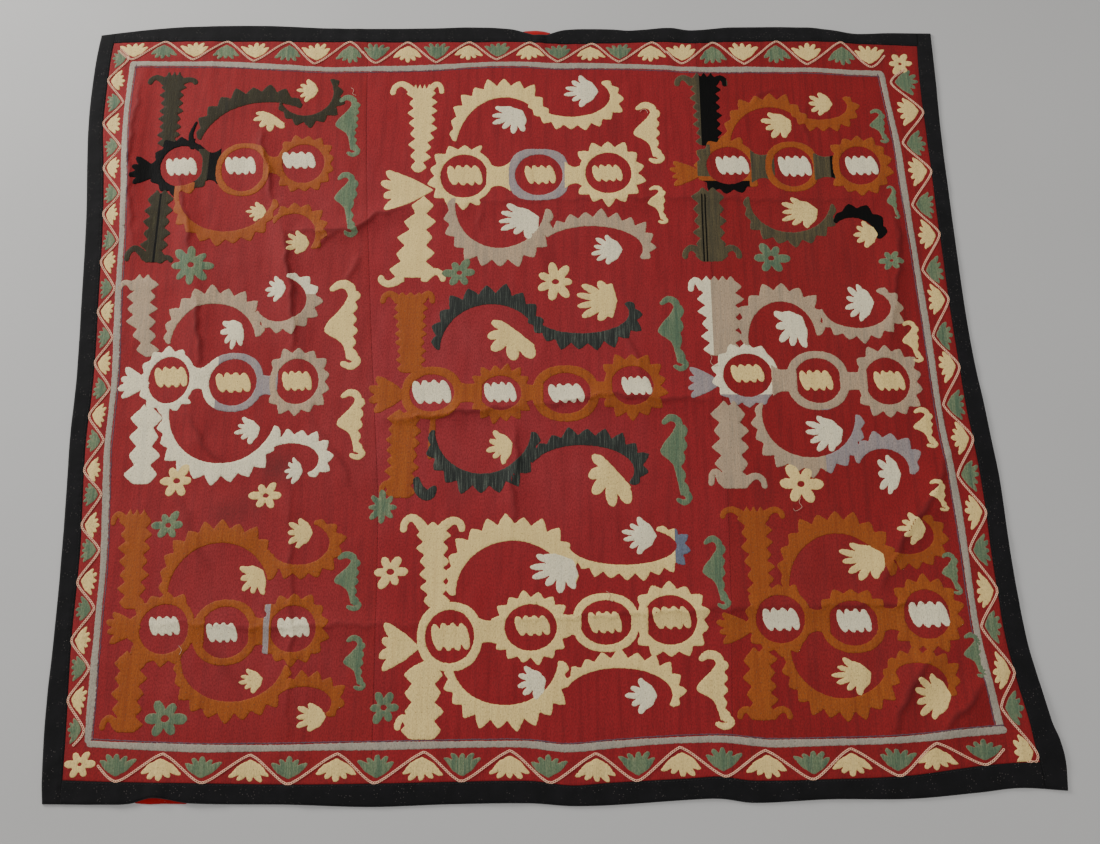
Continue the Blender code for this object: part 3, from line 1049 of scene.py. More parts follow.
def saw(phase: np.ndarray, height: float, seed: float) -> np.ndarray:
    """A row of saw teeth of uneven height, one for each whole number of the phase."""
    point = 1 - np.abs(2 * (phase % 1.0) - 1)
    return height * point**0.85 * (1 + 0.22 * np.sin(2.3 * np.floor(phase) + seed))


@dataclass(frozen=True)
class Shape:
    """A patch of one thread: its solid loops and its holes."""

    thread: Thread

    def solids(self) -> list:
        """The outlines that are filled."""
        raise NotImplementedError

    def holes(self) -> list:
        """The outlines that are left open."""
        return []


@dataclass(frozen=True)
class Ring(Shape):
    """A ring medallion: a hole, a band round it, and teeth on an arc of it."""

    centre: Point
    hole: Point
    band: float = 9.0
    teeth: int = 0
    tooth: float = 9.0
    arc: Point = (0.0, 360.0)
    boxiness: float = 2.25

    def solids(self) -> list:
        """The rim with its teeth.

        Returns:
            One closed loop.
        """
        angles = np.linspace(0, 2 * math.pi, 360, endpoint=False)
        way = np.column_stack([np.cos(angles), np.sin(angles)])
        reach = np.zeros(360)
        if self.teeth:
            degrees = (np.degrees(angles) - self.arc[0]) % 360
            teeth = saw(angles * self.teeth / (2 * math.pi), self.tooth, self.centre[0])
            reach = np.where(degrees <= (self.arc[1] - self.arc[0]), teeth, 0.0)
        boxy = np.sum(np.abs(way) ** self.boxiness, axis=1) ** (-1 / self.boxiness)
        return [self.centre + way * (np.array(self.hole) + self.band) * boxy[:, None] + way * reach[:, None]]

    def holes(self) -> list:
        """The hole."""
        return [ellipse(self.centre, self.hole)]


@dataclass(frozen=True)
class Bridge(Shape):
    """A waisted piece between two rings."""

    left: float
    right: float
    middle: float
    ends: float = 22.0
    waist: float = 12.0

    def solids(self) -> list:
        """Its outline.

        Returns:
            One closed loop.
        """
        share = np.linspace(0, 1, 14)
        half = self.waist + (self.ends - self.waist) * (2 * share - 1) ** 2
        x = self.left + (self.right - self.left) * share
        upper = np.column_stack([x, self.middle + half])
        lower = np.column_stack([x, self.middle - half])
        return [np.vstack([upper, lower[::-1]])]


@dataclass(frozen=True)
class Cloud(Shape):
    """Four slanting lobes side by side, the filling of a ring."""

    box: tuple

    def solids(self) -> list:
        """Its four lobes and the middle that joins them."""
        lobes = [ellipse((x, 0.04 * x), (0.28, 0.98 - 0.1 * abs(x)), 0.2) for x in (-0.72, -0.25, 0.24, 0.7)]
        heart = ellipse((0.0, 0.0), (0.82, 0.74))
        return fitted([*lobes, heart], self.box)


@dataclass(frozen=True)
class Star(Shape):
    """A flower of pointed petals round a small hole."""

    centre: Point
    radius: float
    hole: float = 3.0
    petals: int = 6
    turn: float = 0.0

    def solids(self) -> list:
        """Its petals.

        Returns:
            One closed loop.
        """
        angles = np.linspace(0, 2 * math.pi, 120, endpoint=False)
        wave = np.abs(np.cos(self.petals * (angles - math.radians(self.turn)) / 2)) ** 0.9
        uneven = 1 + 0.10 * np.sin(2 * angles + self.centre[0]) + 0.06 * np.sin(3 * angles + self.centre[1])
        reach = self.radius * (0.5 + 0.58 * wave) * uneven
        x = self.centre[0] + reach * np.cos(angles)
        return [np.column_stack([x, self.centre[1] + reach * np.sin(angles)])]

    def holes(self) -> list:
        """Its eye."""
        return [ellipse(self.centre, (self.hole, self.hole * 0.8))] if self.hole else []


@dataclass(frozen=True)
class Palmette(Shape):
    """A leaf with fingers on one side and a smooth back that ends in a point."""

    box: tuple
    aim: float
    fingers: int = 5
    spread: float = 170.0
    notch: float = 0.46
    back: float = 0.42
    bulge: float = 0.18
    lean: float = 0.0

    def solids(self) -> list:
        """Its outline, fitted to its box.

        Returns:
            One closed loop.
        """
        start, end = math.radians(self.aim - self.spread / 2), math.radians(self.aim + self.spread / 2)
        angles = np.linspace(start, end, self.fingers * 12 + 1)
        phase = np.linspace(0, self.fingers, self.fingers * 12 + 1) % 1.0
        lobe = np.sin(math.pi * phase) ** 0.75
        lobe[0] = lobe[-1] = 0.4
        uneven = 1 + 0.08 * np.sin(5 * angles + self.box[0])
        uneven = uneven * (1 + self.lean * np.linspace(0, 1, len(angles)))
        reach = (1 - self.notch * (1 - lobe)) * uneven
        fan = np.column_stack([reach * np.cos(angles), reach * np.sin(angles)])
        way = math.radians(self.aim + 180)
        apex = np.array([math.cos(way), math.sin(way)]) * self.back
        sides = []
        for corner in (fan[-1], fan[0]):
            middle = (corner + apex) / 2
            outward = middle - np.array([math.cos(way), math.sin(way)]) * (middle @ apex) / self.back
            sides.append(middle + outward / max(np.hypot(*outward), 1e-6) * self.bulge)
        return fitted([np.vstack([fan, sides[0], apex, sides[1]])], self.box)


def hand(thread: Thread, left: float, bottom: float, right: float, top: float) -> Palmette:
    """The small hand beside the first ring, with its fingers to the left."""
    return Palmette(thread, (left, bottom, right, top), 180.0, 4, 100.0, 0.34, 0.8, 0.05)


@dataclass(frozen=True)
class Sweep(Shape):
    """Half a scroll: a band along an elliptical arc, with saw teeth on its outer side.

    The start and the end are angles in degrees.
    """

    centre: Point
    radii: Point
    start: float
    end: float
    teeth: int = 9
    band: float = 12.0
    tooth: float = 10.0
    thin_start: float = 0.3
    thin_end: float = 0.4

    def solids(self) -> list:
        """Its outline: along the arc's inner edge, then back along the teeth.

        Returns:
            One closed loop.
        """
        share = np.linspace(0, 1, self.teeth * 10 + 1)
        angle = np.radians(self.start + (self.end - self.start) * share)
        way = np.column_stack([np.cos(angle), np.sin(angle)])
        inner = np.array(self.centre) + way * self.radii
        normal = way / np.array(self.radii)
        normal /= np.hypot(*normal.T)[:, None]
        swelling = self.thin_start + (1 - self.thin_start) * np.sin(np.minimum(share / 0.45, 1) * math.pi / 2)
        swelling *= 1 - (1 - self.thin_end) * np.clip((share - 0.75) / 0.25, 0, 1)
        reach = self.band + saw(share * self.teeth, self.tooth, self.centre[0])
        outer = inner + normal * (reach * swelling)[:, None]
        return [np.vstack([inner, outer[::-1]])]


@dataclass(frozen=True)
class Bar(Shape):
    """An upright bar with teeth on both sides; rows of x, y and half width run down it."""

    spine: tuple
    left_teeth: int
    right_teeth: int
    tooth: float = 8.0
    crown: int = 2
    crown_height: float = 9.0

    def edge(self, side: int, teeth: int) -> np.ndarray:
        """One side's toothed edge, from top to bottom.

        Args:
            side: -1 for the left side, 1 for the right.
            teeth: the number of its teeth.

        Returns:
            The edge's points.
        """
        rows = np.array(self.spine, float)
        share = np.linspace(0, 1, teeth * 8 + 1)
        at = np.interp(share, np.linspace(0, 1, len(rows)), np.arange(len(rows)))
        line = np.column_stack([np.interp(at, np.arange(len(rows)), rows[:, k]) for k in range(3)])
        reach = saw(share * teeth, self.tooth, side + self.spine[0][0])
        return np.column_stack([line[:, 0] + side * (line[:, 2] + reach), line[:, 1]])

    def solids(self) -> list:
        """Its outline.

        Returns:
            One closed loop.
        """
        left, right = self.edge(-1, self.left_teeth), self.edge(1, self.right_teeth)
        top = []
        for i in range(self.crown):
            at = (i + 0.5) / self.crown
            place = left[0] + (right[0] - left[0]) * at
            top.append(place + (0, self.crown_height))
            if i + 1 < self.crown:
                top.append(left[0] + (right[0] - left[0]) * (i + 1) / self.crown)
        crown = np.array(top).reshape(-1, 2)
        return [np.vstack([left[::-1], crown, right])]


@dataclass(frozen=True)
class Strand(Shape):
    """A narrow band such as a stem, a tail or a stripe: rows of x, y and width."""

    path: tuple

    def solids(self) -> list:
        """Its outline."""
        return [ribbon(self.path)]


def hook(thread: Thread, x: float, y: float, reach: float, rise: float, width: float = 7.0) -> Strand:
    """A curl that leaves a bar's end at x and y, goes out by reach and up by rise, and turns back.

    Args:
        thread: its thread.
        x: its root.
        y: its root.
        reach: how far it goes to the side, negative to the left.
        rise: how far it goes up, negative for down.
        width: its width.

    Returns:
        The curl.
    """
    shares = ((0.0, 0.0, 1.35), (0.3, 0.62, 1.2), (0.62, 0.92, 1.0), (0.92, 0.55, 0.95), (1.0, -0.15, 0.9))
    return Strand(thread, tuple((x + reach * a, y + rise * b, width * w) for a, b, w in shares))


@dataclass(frozen=True)
class Bird(Shape):
    """A comma-like bird: a curled head, its breast to the left, a scalloped back and a hooked tail."""

    box: tuple
    breast: float = 0.5
    scallops: int = 5
    head: tuple = ((0.66, 0.84, 0.22), (0.6, 0.94, 0.26), (0.36, 0.98, 0.26), (0.12, 0.91, 0.16))
    tail: tuple = ((0.72, 0.13, 0.26), (0.88, 0.06, 0.22), (0.72, 0.0, 0.2), (0.5, 0.04, 0.16))

    def solids(self) -> list:
        """Its body from tail to neck, its head and its tail's hook, fitted to the box.

        Returns:
            The body, the head and the hook of the tail.
        """
        wide, high = self.box[2] - self.box[0], self.box[3] - self.box[1]
        up = np.linspace(0.08, 0.9, 61)
        spine = 0.62 + 0.09 * np.cos(2 * math.pi * up)
        full = np.exp(-(((up - self.breast) / np.where(up > self.breast, 0.22, 0.1)) ** 2))
        back = 0.12 * np.abs(np.sin(math.pi * self.scallops * (up - 0.08) / 0.82))
        left = np.column_stack([(spine - 0.1 - 0.44 * full) * wide, up * high])
        right = np.column_stack([(spine + 0.1 + 0.1 * full + back) * wide, up * high])
        size = (wide, high, wide)
        curls = [ribbon(np.array(curl) * size) for curl in (self.head, self.tail)]
        return fitted([np.vstack([right, left[::-1]]), *curls], self.box)


class Zone(NamedTuple):
    """A box, left, bottom, right, top, in which one thread gives way to another."""

    over: Thread
    thread: Thread
    box: tuple


@dataclass
class Embroidery:
    """One piece of couched embroidery: shapes, and zones where the thread's colour changes."""

    name: str
    shapes: tuple
    zones: tuple = ()
    step: float = 1.9
    inner_step: float = 5.6
    fine_step: float = 2.8
    inset: float = 1.15
    relief: float = 0.42
    rim_relief: float = 0.22
    rim: float = 0.3
    sunk: float = 0.25
    jitter: float = 0.22
    softness: int = 1

    def loops(self, shape: Shape, draw: np.random.Generator, ground: "Ground") -> tuple:
        """A shape's loops with even steps, soft corners and a thread's unevenness.

        Args:
            shape: the shape.
            draw: the random numbers for its unevenness.
            ground: the cloth that it has to stay on.

        Returns:
            Its solid loops and its holes.
        """
        made = []
        for group in (shape.solids(), shape.holes()):
            ready = []
            for loop in group:
                loop = softened(evened(loop, self.step), self.softness)
                loop = loop + draw.normal(0, self.jitter, loop.shape).clip(-0.4, 0.4)
                ready.append(ground.kept_within(loop))
            made.append(ready)
        return made[0], made[1]

    def inset_points(self, solids: Sequence[np.ndarray], holes: Sequence[np.ndarray]) -> np.ndarray:
        """Points a little inside each loop, where the thread reaches its full height.

        Args:
            solids: the filled loops.
            holes: the open loops.

        Returns:
            The points.
        """
        found = []
        for loop, side in (*((loop, 1) for loop in solids), *((loop, -1) for loop in holes)):
            after = np.roll(loop, -1, 0)
            turn = np.sum(loop[:, 0] * after[:, 1] - loop[:, 1] * after[:, 0])
            way = after - np.roll(loop, 1, 0)
            way /= np.maximum(np.hypot(*way.T), 1e-9)[:, None]
            normal = np.column_stack([-way[:, 1], way[:, 0]]) * np.sign(turn) * side
            fresh = (loop + normal * self.inset)[::2]
            gap = np.min(np.hypot(*(fresh[:, None] - loop[None]).transpose(2, 0, 1)), axis=1)
            found.append(fresh[gap > 0.8 * self.inset])
        return np.vstack(found)

    def inner_points(self, solids: Sequence[np.ndarray], lie: ClothLie) -> np.ndarray:
        """Points inside a shape, closer together where a pressed line runs through it.

        Args:
            solids: the filled loops.
            lie: how the cloth lies.

        Returns:
            The points.
        """
        every = np.vstack(solids)
        low, high = every.min(0), every.max(0)
        found = []
        for step, fine in ((self.inner_step, False), (self.fine_step, True)):
            first = np.floor(low / step) * step
            over, up = np.arange(first[0], high[0], step), np.arange(first[1], high[1], step)
            grid = np.stack(np.meshgrid(over, up), -1)
            grid = grid.reshape(-1, 2) + (0.31, 0.17)
            grid = grid[np.any([inside(loop, grid) for loop in solids], axis=0)]
            if fine and len(grid):
                grid = grid[lie.pinch(grid[:, 0], grid[:, 1]) > 0.12]
            found.append(grid)
        return np.vstack(found)

    def plan(self, lie: ClothLie, ground: "Ground") -> tuple:
        """Works out the patchwork's triangles.

        Args:
            lie: the cloth's lie.
            ground: the ground cloth, inside whose edge everything stays.

        Returns:
            Plan points, triangles, and for each triangle its thread's number and its shape's number.
        """
        draw = np.random.default_rng(len(self.shapes) + len(self.name))
        points, edges, ready, count = [], [], [], 0
        for shape in self.shapes:
            solids, holes = self.loops(shape, draw, ground)
            for loop in (*solids, *holes):
                points.append(loop)
                edges.extend(ring_edges(count, len(loop)))
                count += len(loop)
            inner = np.vstack([self.inset_points(solids, holes), self.inner_points(solids, lie)])
            points.append(inner)
            count += len(inner)
            ready.append((shape.thread, solids, holes))
        for zone in self.zones:
            left, bottom, right, top = zone.box
            box = evened(np.array([(left, bottom), (right, bottom), (right, top), (left, top)], float), 3.0)
            points.append(box)
            edges.extend(ring_edges(count, len(box)))
            count += len(box)
        places, triangles, _ = triangulate(np.vstack(points), edges)
        middle = places[triangles].mean(1)
        threads = np.full(len(triangles), -1)
        owners = np.full(len(triangles), -1)
        for number, (thread, solids, holes) in enumerate(ready):
            covered = np.any([inside(loop, middle) for loop in solids], axis=0)
            for loop in holes:
                covered &= ~inside(loop, middle)
            threads[covered] = THREADS.index(thread)
            owners[covered] = number
        for zone in self.zones:
            left, bottom, right, top = zone.box
            within = (middle[:, 0] > left) & (middle[:, 0] < right)
            within &= (middle[:, 1] > bottom) & (middle[:, 1] < top)
            threads[within & (threads == THREADS.index(zone.over))] = THREADS.index(zone.thread)
        kept = threads >= 0
        return places, triangles[kept], threads[kept], owners[kept]

    def build(self, lie: ClothLie, ground: "Ground", finishes: dict) -> bpy.types.Object:
        """Builds the raised patchwork.

        Args:
            lie: the cloth's lie.
            ground: the ground cloth.
            finishes: the material of each thread.

        Returns:
            The piece.
        """
        places, triangles, threads, owners = self.plan(lie, ground)
        used, triangles = np.unique(triangles, return_inverse=True)
        triangles = triangles.reshape(-1, 3)
        places = places[used]
        a, b, c = (places[triangles[:, k]] for k in range(3))
        area = (b[:, 0] - a[:, 0]) * (c[:, 1] - a[:, 1]) - (b[:, 1] - a[:, 1]) * (c[:, 0] - a[:, 0])
        triangles[area < 0] = triangles[area < 0][:, ::-1]
        sides = triangles[:, [0, 1, 1, 2, 2, 0]].reshape(-1, 2)
        keys = set(map(tuple, sides.tolist()))
        rim = [(i, k // 3) for k, i in enumerate(sides.tolist()) if (i[1], i[0]) not in keys]
        starts = np.array([pair[0] for pair, _ in rim])
        ends = np.array([pair[1] for pair, _ in rim])
        way = places[ends] - places[starts]
        way /= np.maximum(np.hypot(*way.T), 1e-9)[:, None]
        inward = np.zeros_like(places)
        for index in (starts, ends):
            np.add.at(inward, index, np.column_stack([-way[:, 1], way[:, 0]]))
        size = np.hypot(*inward.T)
        on_rim = size > 1e-6
        inward[on_rim] /= np.maximum(size[on_rim], 0.9)[:, None]
        upper = places + inward * self.rim
        relief = np.where(on_rim, self.rim_relief, self.relief)
        height = lie.face(upper[:, 0], upper[:, 1]) + relief
        lower_ids = np.unique(np.concatenate([starts, ends]))
        lower = places[lower_ids]
        lower_height = lie.face(lower[:, 0], lower[:, 1]) - self.sunk
        below = {int(v): len(places) + i for i, v in enumerate(lower_ids)}
        points = np.vstack([np.column_stack([upper, height]), np.column_stack([lower, lower_height])])
        faces = [tuple(t) for t in triangles]
        faces += [(below[i], below[j], j, i) for (i, j), _ in rim]
        numbers = np.concatenate([threads, threads[[t for _, t in rim]]])
        present = sorted(set(numbers.tolist()))
        piece = make_piece(self.name, points, faces, [finishes[THREADS[n]] for n in present])
        slots = np.array([present.index(n) for n in numbers], np.int32)
        piece.data.polygons.foreach_set("material_index", slots)
        draw = np.random.default_rng(5)
        shade = draw.uniform(0, 1, len(self.shapes))
        tone = np.zeros(len(points))
        for k in range(3):
            tone[triangles[:, k]] = shade[owners]
        for old, new in below.items():
            tone[new] = tone[old]
        paint(piece, "tone", tone)
        edge = np.ones(len(points))
        edge[: len(places)] = on_rim
        paint(piece, "edge", edge)
        flat = np.zeros(len(faces), bool)
        flat[: len(triangles)] = True
        piece.data.polygons.foreach_set("use_smooth", flat)
        return piece


# The cloths


def net(
    left: Curve, right: Curve, bottom: Curve, top: Curve, across: np.ndarray, up: np.ndarray
) -> np.ndarray:
    """A net of plan points over a field between four curves.

    Args:
        left: gives the left edge's x for a y.
        right: gives the right edge's x.
        bottom: gives the bottom edge's y for an x.
        top: gives the top edge's y.
        across: shares across.
        up: shares up.

    Returns:
        Rows of columns of points.
    """
    u, v = np.meshgrid(across, up)
    x, y = np.zeros_like(u), np.zeros_like(u)
    for _ in range(6):
        x = left(y) + (right(y) - left(y)) * u
        y = bottom(x) + (top(x) - bottom(x)) * v
    return np.stack([x, y], -1)


def shares(length: float, step: float, rim: Sequence[float] = (0.5, 1.1, 1.9)) -> np.ndarray:
    """Shares of a length at even steps, with a few closer ones at both ends."""
    fine = np.array(rim) / length
    even = np.linspace(fine[-1], 1 - fine[-1], max(2, int(length / step)))
    return np.concatenate([[0.0], fine[:-1], even, 1 - fine[:-1][::-1], [1.0]])


def net_faces(rows: int, columns: int) -> list:
    """The squares of a net whose points are numbered row by row.

    Args:
        rows: the net's rows of points.
        columns: the points in a row.

    Returns:
        Four point numbers a square.
    """
    return [
        (j * columns + i, j * columns + i + 1, (j + 1) * columns + i + 1, (j + 1) * columns + i)
        for j in range(rows - 1)
        for i in range(columns - 1)
    ]


def net_rim(rows: int, columns: int) -> list:
    """The numbers of a net's rim points, in turn, anticlockwise.

    Args:
        rows: the net's rows of points.
        columns: the points in a row.

    Returns:
        The rim's point numbers.
    """
    bottom = list(range(columns))
    right = [j * columns + columns - 1 for j in range(1, rows)]
    top = [(rows - 1) * columns + i for i in range(columns - 2, -1, -1)]
    left = [j * columns for j in range(rows - 2, 0, -1)]
    return bottom + right + top + left


def plan_area(loop: np.ndarray) -> float:
    """The area inside a closed loop, in its own units squared."""
    after = np.roll(loop, -1, 0)
    return abs(float(np.sum(loop[:, 0] * after[:, 1] - loop[:, 1] * after[:, 0]))) / 2


@dataclass
class ClothPiece:
    """One cut piece of cloth that stands for a solid of the frame."""

    name: str
    node: str
    slot: str
    body: str = "root"

    def declare(
        self, piece: bpy.types.Object, rim: np.ndarray, strip: bool = False
    ) -> None:
        """Parents the piece to its body, hides the part that it replaces and logs the size that it was cut
        to.

        Args:
            piece: the cloth's object.
            rim: its outline in plan.
            strip: whether it is cut as a straight strip and only sewn on along a leaning edge.
        """
        width, length = (rim.max(0) - rim.min(0)) * MM
        area = plan_area(rim) * MM * MM
        if strip:
            length = max(width, length)
            width = area / length
        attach(piece, self.body)
        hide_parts(self.node)
        LOG.info("%s: %.3f by %.3f m, %d faces", piece.name, width, length, len(piece.data.polygons))


@dataclass
class Ground:
    """The three red ground widths."""

    lie: ClothLie
    gap: float = 0.3
    step: float = 2.8
    below_step: float = 16.0
    margin: float = 0.7

    def __post_init__(self) -> None:
        """Sets up the ground's four edges."""
        half = self.gap / 2
        self.left = EdgeCurve(LEFT_EDGE, "inner", half)
        self.right = EdgeCurve(RIGHT_EDGE, "inner", -half)
        self.bottom = EdgeCurve(BOTTOM_EDGE, "inner", half)
        self.top = EdgeCurve(TOP_EDGE, "inner", -half)
        self.widths = {
            "left": (self.left, EdgeCurve(LEFT_SEAM, "across", -half), 424.0),
            "middle": (EdgeCurve(LEFT_SEAM, "across", half), EdgeCurve(RIGHT_SEAM, "across", -half), 458.0),
            "right": (EdgeCurve(RIGHT_SEAM, "across", half), self.right, 340.0),
        }

    def kept_within(self, loop: np.ndarray) -> np.ndarray:
        """A loop cut off flat where it would run under the edge strips.

        Args:
            loop: the loop or the path.

        Returns:
            The loop, with its points moved inside.
        """
        x, y = loop[:, 0], loop[:, 1]
        x = np.clip(x, self.left(y) + self.margin, self.right(y) - self.margin)
        y = np.clip(y, self.bottom(x) + self.margin, self.top(x) - self.margin)
        return np.column_stack([x, y])

    def build(self, side: str, material: bpy.types.Material) -> bpy.types.Object:
        """Builds one width.

        Args:
            side: left, middle or right.
            material: its finish.

        Returns:
            The piece.
        """
        left, right, wide = self.widths[side]
        across, up = shares(wide, self.step), shares(1018.0, self.step)
        points = net(left, right, self.bottom, self.top, across, up)
        rows, columns = points.shape[:2]
        flat = points.reshape(-1, 2)
        x, y = flat[:, 0], flat[:, 1]
        height = self.lie.face(x, y)
        u, v = np.meshgrid(across * wide, up * 1018.0)
        edge = np.minimum(np.minimum(v, 1018.0 - v), 1e9).ravel()
        if side == "left":
            edge = np.minimum(edge, u.ravel())
        if side == "right":
            edge = np.minimum(edge, (wide - u).ravel())
        height -= 0.35 * np.exp(-((edge / 1.0) ** 2))
        upper = np.column_stack([flat, height])
        rim = net_rim(rows, columns)
        lower, more = close_below(upper, rim, self.lie.underside, self.below_step)
        name = f"ground_{side}"
        piece = make_piece(name, np.vstack([upper, lower]), net_faces(rows, columns) + more, [material])
        every = np.vstack([upper, lower])
        paint(piece, "fade", spots_at(FADED_SPOTS, every[:, 0], every[:, 1]))
        paint(piece, "stain", spots_at(STAINS, every[:, 0], every[:, 1]) * 0.6)
        # painted shade along the creases, darkest on the pressed lines, which the ground's material reads
        painted_crease_shade = np.clip(self.lie.pinch(every[:, 0], every[:, 1]) / 2.4, 0, 1)
        paint(piece, "painted_crease_shade", painted_crease_shade * 0.75)
        ClothPiece(name, f"panel_{side}", name).declare(piece, flat[rim])
        return piece


@dataclass
class EdgeStrips:
    """The dark strips round the cloth: full height at the sides, between them at the top and bottom."""

    lie: ClothLie
    gap: float = 0.3
    step: float = 2.8
    round_over: float = 3.4
    pucker: float = 0.32
    profile: tuple = (0.0, 0.02, 0.05, 0.09, 0.16, 0.26, 0.38, 0.5, 0.62, 0.74, 0.84, 0.91, 0.95, 0.98, 1.0)

    def fields(self) -> dict:
        """The four edges of each strip, the side that is its outer one, and its length.

        Returns:
            For each strip's name, its four edges, its outer side and its length.
        """
        half = self.gap / 2
        outer_left, outer_right = EdgeCurve(LEFT_EDGE, "outer"), EdgeCurve(RIGHT_EDGE, "outer")
        outer_bottom, outer_top = EdgeCurve(BOTTOM_EDGE, "outer"), EdgeCurve(TOP_EDGE, "outer")
        inner_left, inner_right = EdgeCurve(LEFT_EDGE, "inner", -half), EdgeCurve(RIGHT_EDGE, "inner", half)
        left_end, right_end = EdgeCurve(LEFT_EDGE, "inner", half), EdgeCurve(RIGHT_EDGE, "inner", -half)
        inner_bottom, inner_top = EdgeCurve(BOTTOM_EDGE, "inner", -half), EdgeCurve(TOP_EDGE, "inner", half)
        return {
            "left": (outer_left, inner_left, outer_bottom, outer_top, 1058.0),
            "right": (inner_right, outer_right, outer_bottom, outer_top, 1044.0),
            "bottom": (left_end, right_end, outer_bottom, inner_bottom, 1152.0),
            "top": (left_end, right_end, inner_top, outer_top, 1164.0),
        }

    def out_distance(self, side: str, x: np.ndarray, y: np.ndarray) -> np.ndarray:
        """How far each place is from the strip's outer edge, and from its ends where it has free ones.

        Args:
            side: the strip's name.
            x: places across, in millimetres.
            y: places up, in millimetres.

        Returns:
            The distances in millimetres.
        """
        outer_left, outer_right = EdgeCurve(LEFT_EDGE, "outer"), EdgeCurve(RIGHT_EDGE, "outer")
        below = y - EdgeCurve(BOTTOM_EDGE, "outer")(x)
        above = EdgeCurve(TOP_EDGE, "outer")(x) - y
        if side == "bottom":
            return np.maximum(below, 0)
        if side == "top":
            return np.maximum(above, 0)
        beside = x - outer_left(y) if side == "left" else outer_right(y) - x
        return np.maximum(np.minimum(beside, np.minimum(below, above)), 0)

    def lift(self, base: np.ndarray) -> np.ndarray:
        """How far the outer edge stands up where the cloth is lifted off the floor."""
        return 0.7 * np.clip(base - self.lie.lining - self.lie.gap - 0.6, 0, 6)

    def below(self, side: str, x: np.ndarray, y: np.ndarray) -> np.ndarray:
        """The strip's underside: over the lining, and down to the floor outside it.

        Args:
            side: the strip's name.
            x: places across, in millimetres.
            y: places up, in millimetres.

        Returns:
            The underside's height.
        """
        base = self.lie.underside(x, y)
        rise = np.clip((self.out_distance(side, x, y) - 0.8) / 3.0, 0, 1)
        rise = rise * rise * (3 - 2 * rise)
        low = 0.1 + self.lift(base)
        return low + (np.maximum(base, low) - low) * rise

    def surface(self, side: str, x: np.ndarray, y: np.ndarray, inner: np.ndarray) -> np.ndarray:
        """The strip's upper face.

        Args:
            side: which strip.
            x: places.
            y: places.
            inner: how far each place is from the strip's inner edge.

        Returns:
            Heights in millimetres.
        """
        along = y if side in ("left", "right") else x
        base = self.lie.underside(x, y)
        bend = np.clip(1 - self.out_distance(side, x, y) / self.round_over, 0, 1)
        low = 0.35 + self.lift(base)
        height = low + (base + self.lie.strip - low) * np.sqrt(1 - bend**2)
        wave = np.sin(along / 1.9 + 2.0 * np.sin(along / 23.0)) * (0.55 + 0.45 * np.sin(along / 31.0))
        height += self.pucker * wave * np.exp(-(((inner - 4.0) / 4.0) ** 2))
        pucker = 0.22 * np.sin(along / 7.0 + 1.7 * np.sin(along / 41.0))
        height += pucker * (1 - bend) * np.clip(inner / 5, 0, 1)
        dip = 0.8 * np.exp(-((inner / 1.1) ** 2)) + 0.45 * np.exp(-(((inner - 2.2) / 0.9) ** 2))
        return height - dip * (1 - bend)

    def build(self, side: str, material: bpy.types.Material) -> bpy.types.Object:
        """Builds one strip.

        Args:
            side: the strip's name.
            material: its finish.

        Returns:
            The strip.
        """
        left, right, bottom, top, length = self.fields()[side]
        along = shares(length, self.step)
        across = np.array(self.profile)
        if side in ("right", "top"):
            across = 1 - across[::-1]
        upright = side in ("left", "right")
        u_shares, v_shares = (across, along) if upright else (along, across)
        points = net(left, right, bottom, top, u_shares, v_shares)
        rows, columns = points.shape[:2]
        flat = points.reshape(-1, 2)
        x, y = flat[:, 0], flat[:, 1]
        inner = {
            "left": right(y) - x,
            "right": x - left(y),
            "bottom": top(x) - y,
            "top": y - bottom(x),
        }[side]
        upper = np.column_stack([flat, self.surface(side, x, y, inner)])
        rim = net_rim(rows, columns)
        lower, more = close_below(upper, rim, lambda px, py: self.below(side, px, py), 4.0)
        name = f"strip_{side}"
        piece = make_piece(name, np.vstack([upper, lower]), net_faces(rows, columns) + more, [material])
        ClothPiece(name, f"binding_{side}", "edge_strip").declare(piece, flat[rim], True)
        return piece


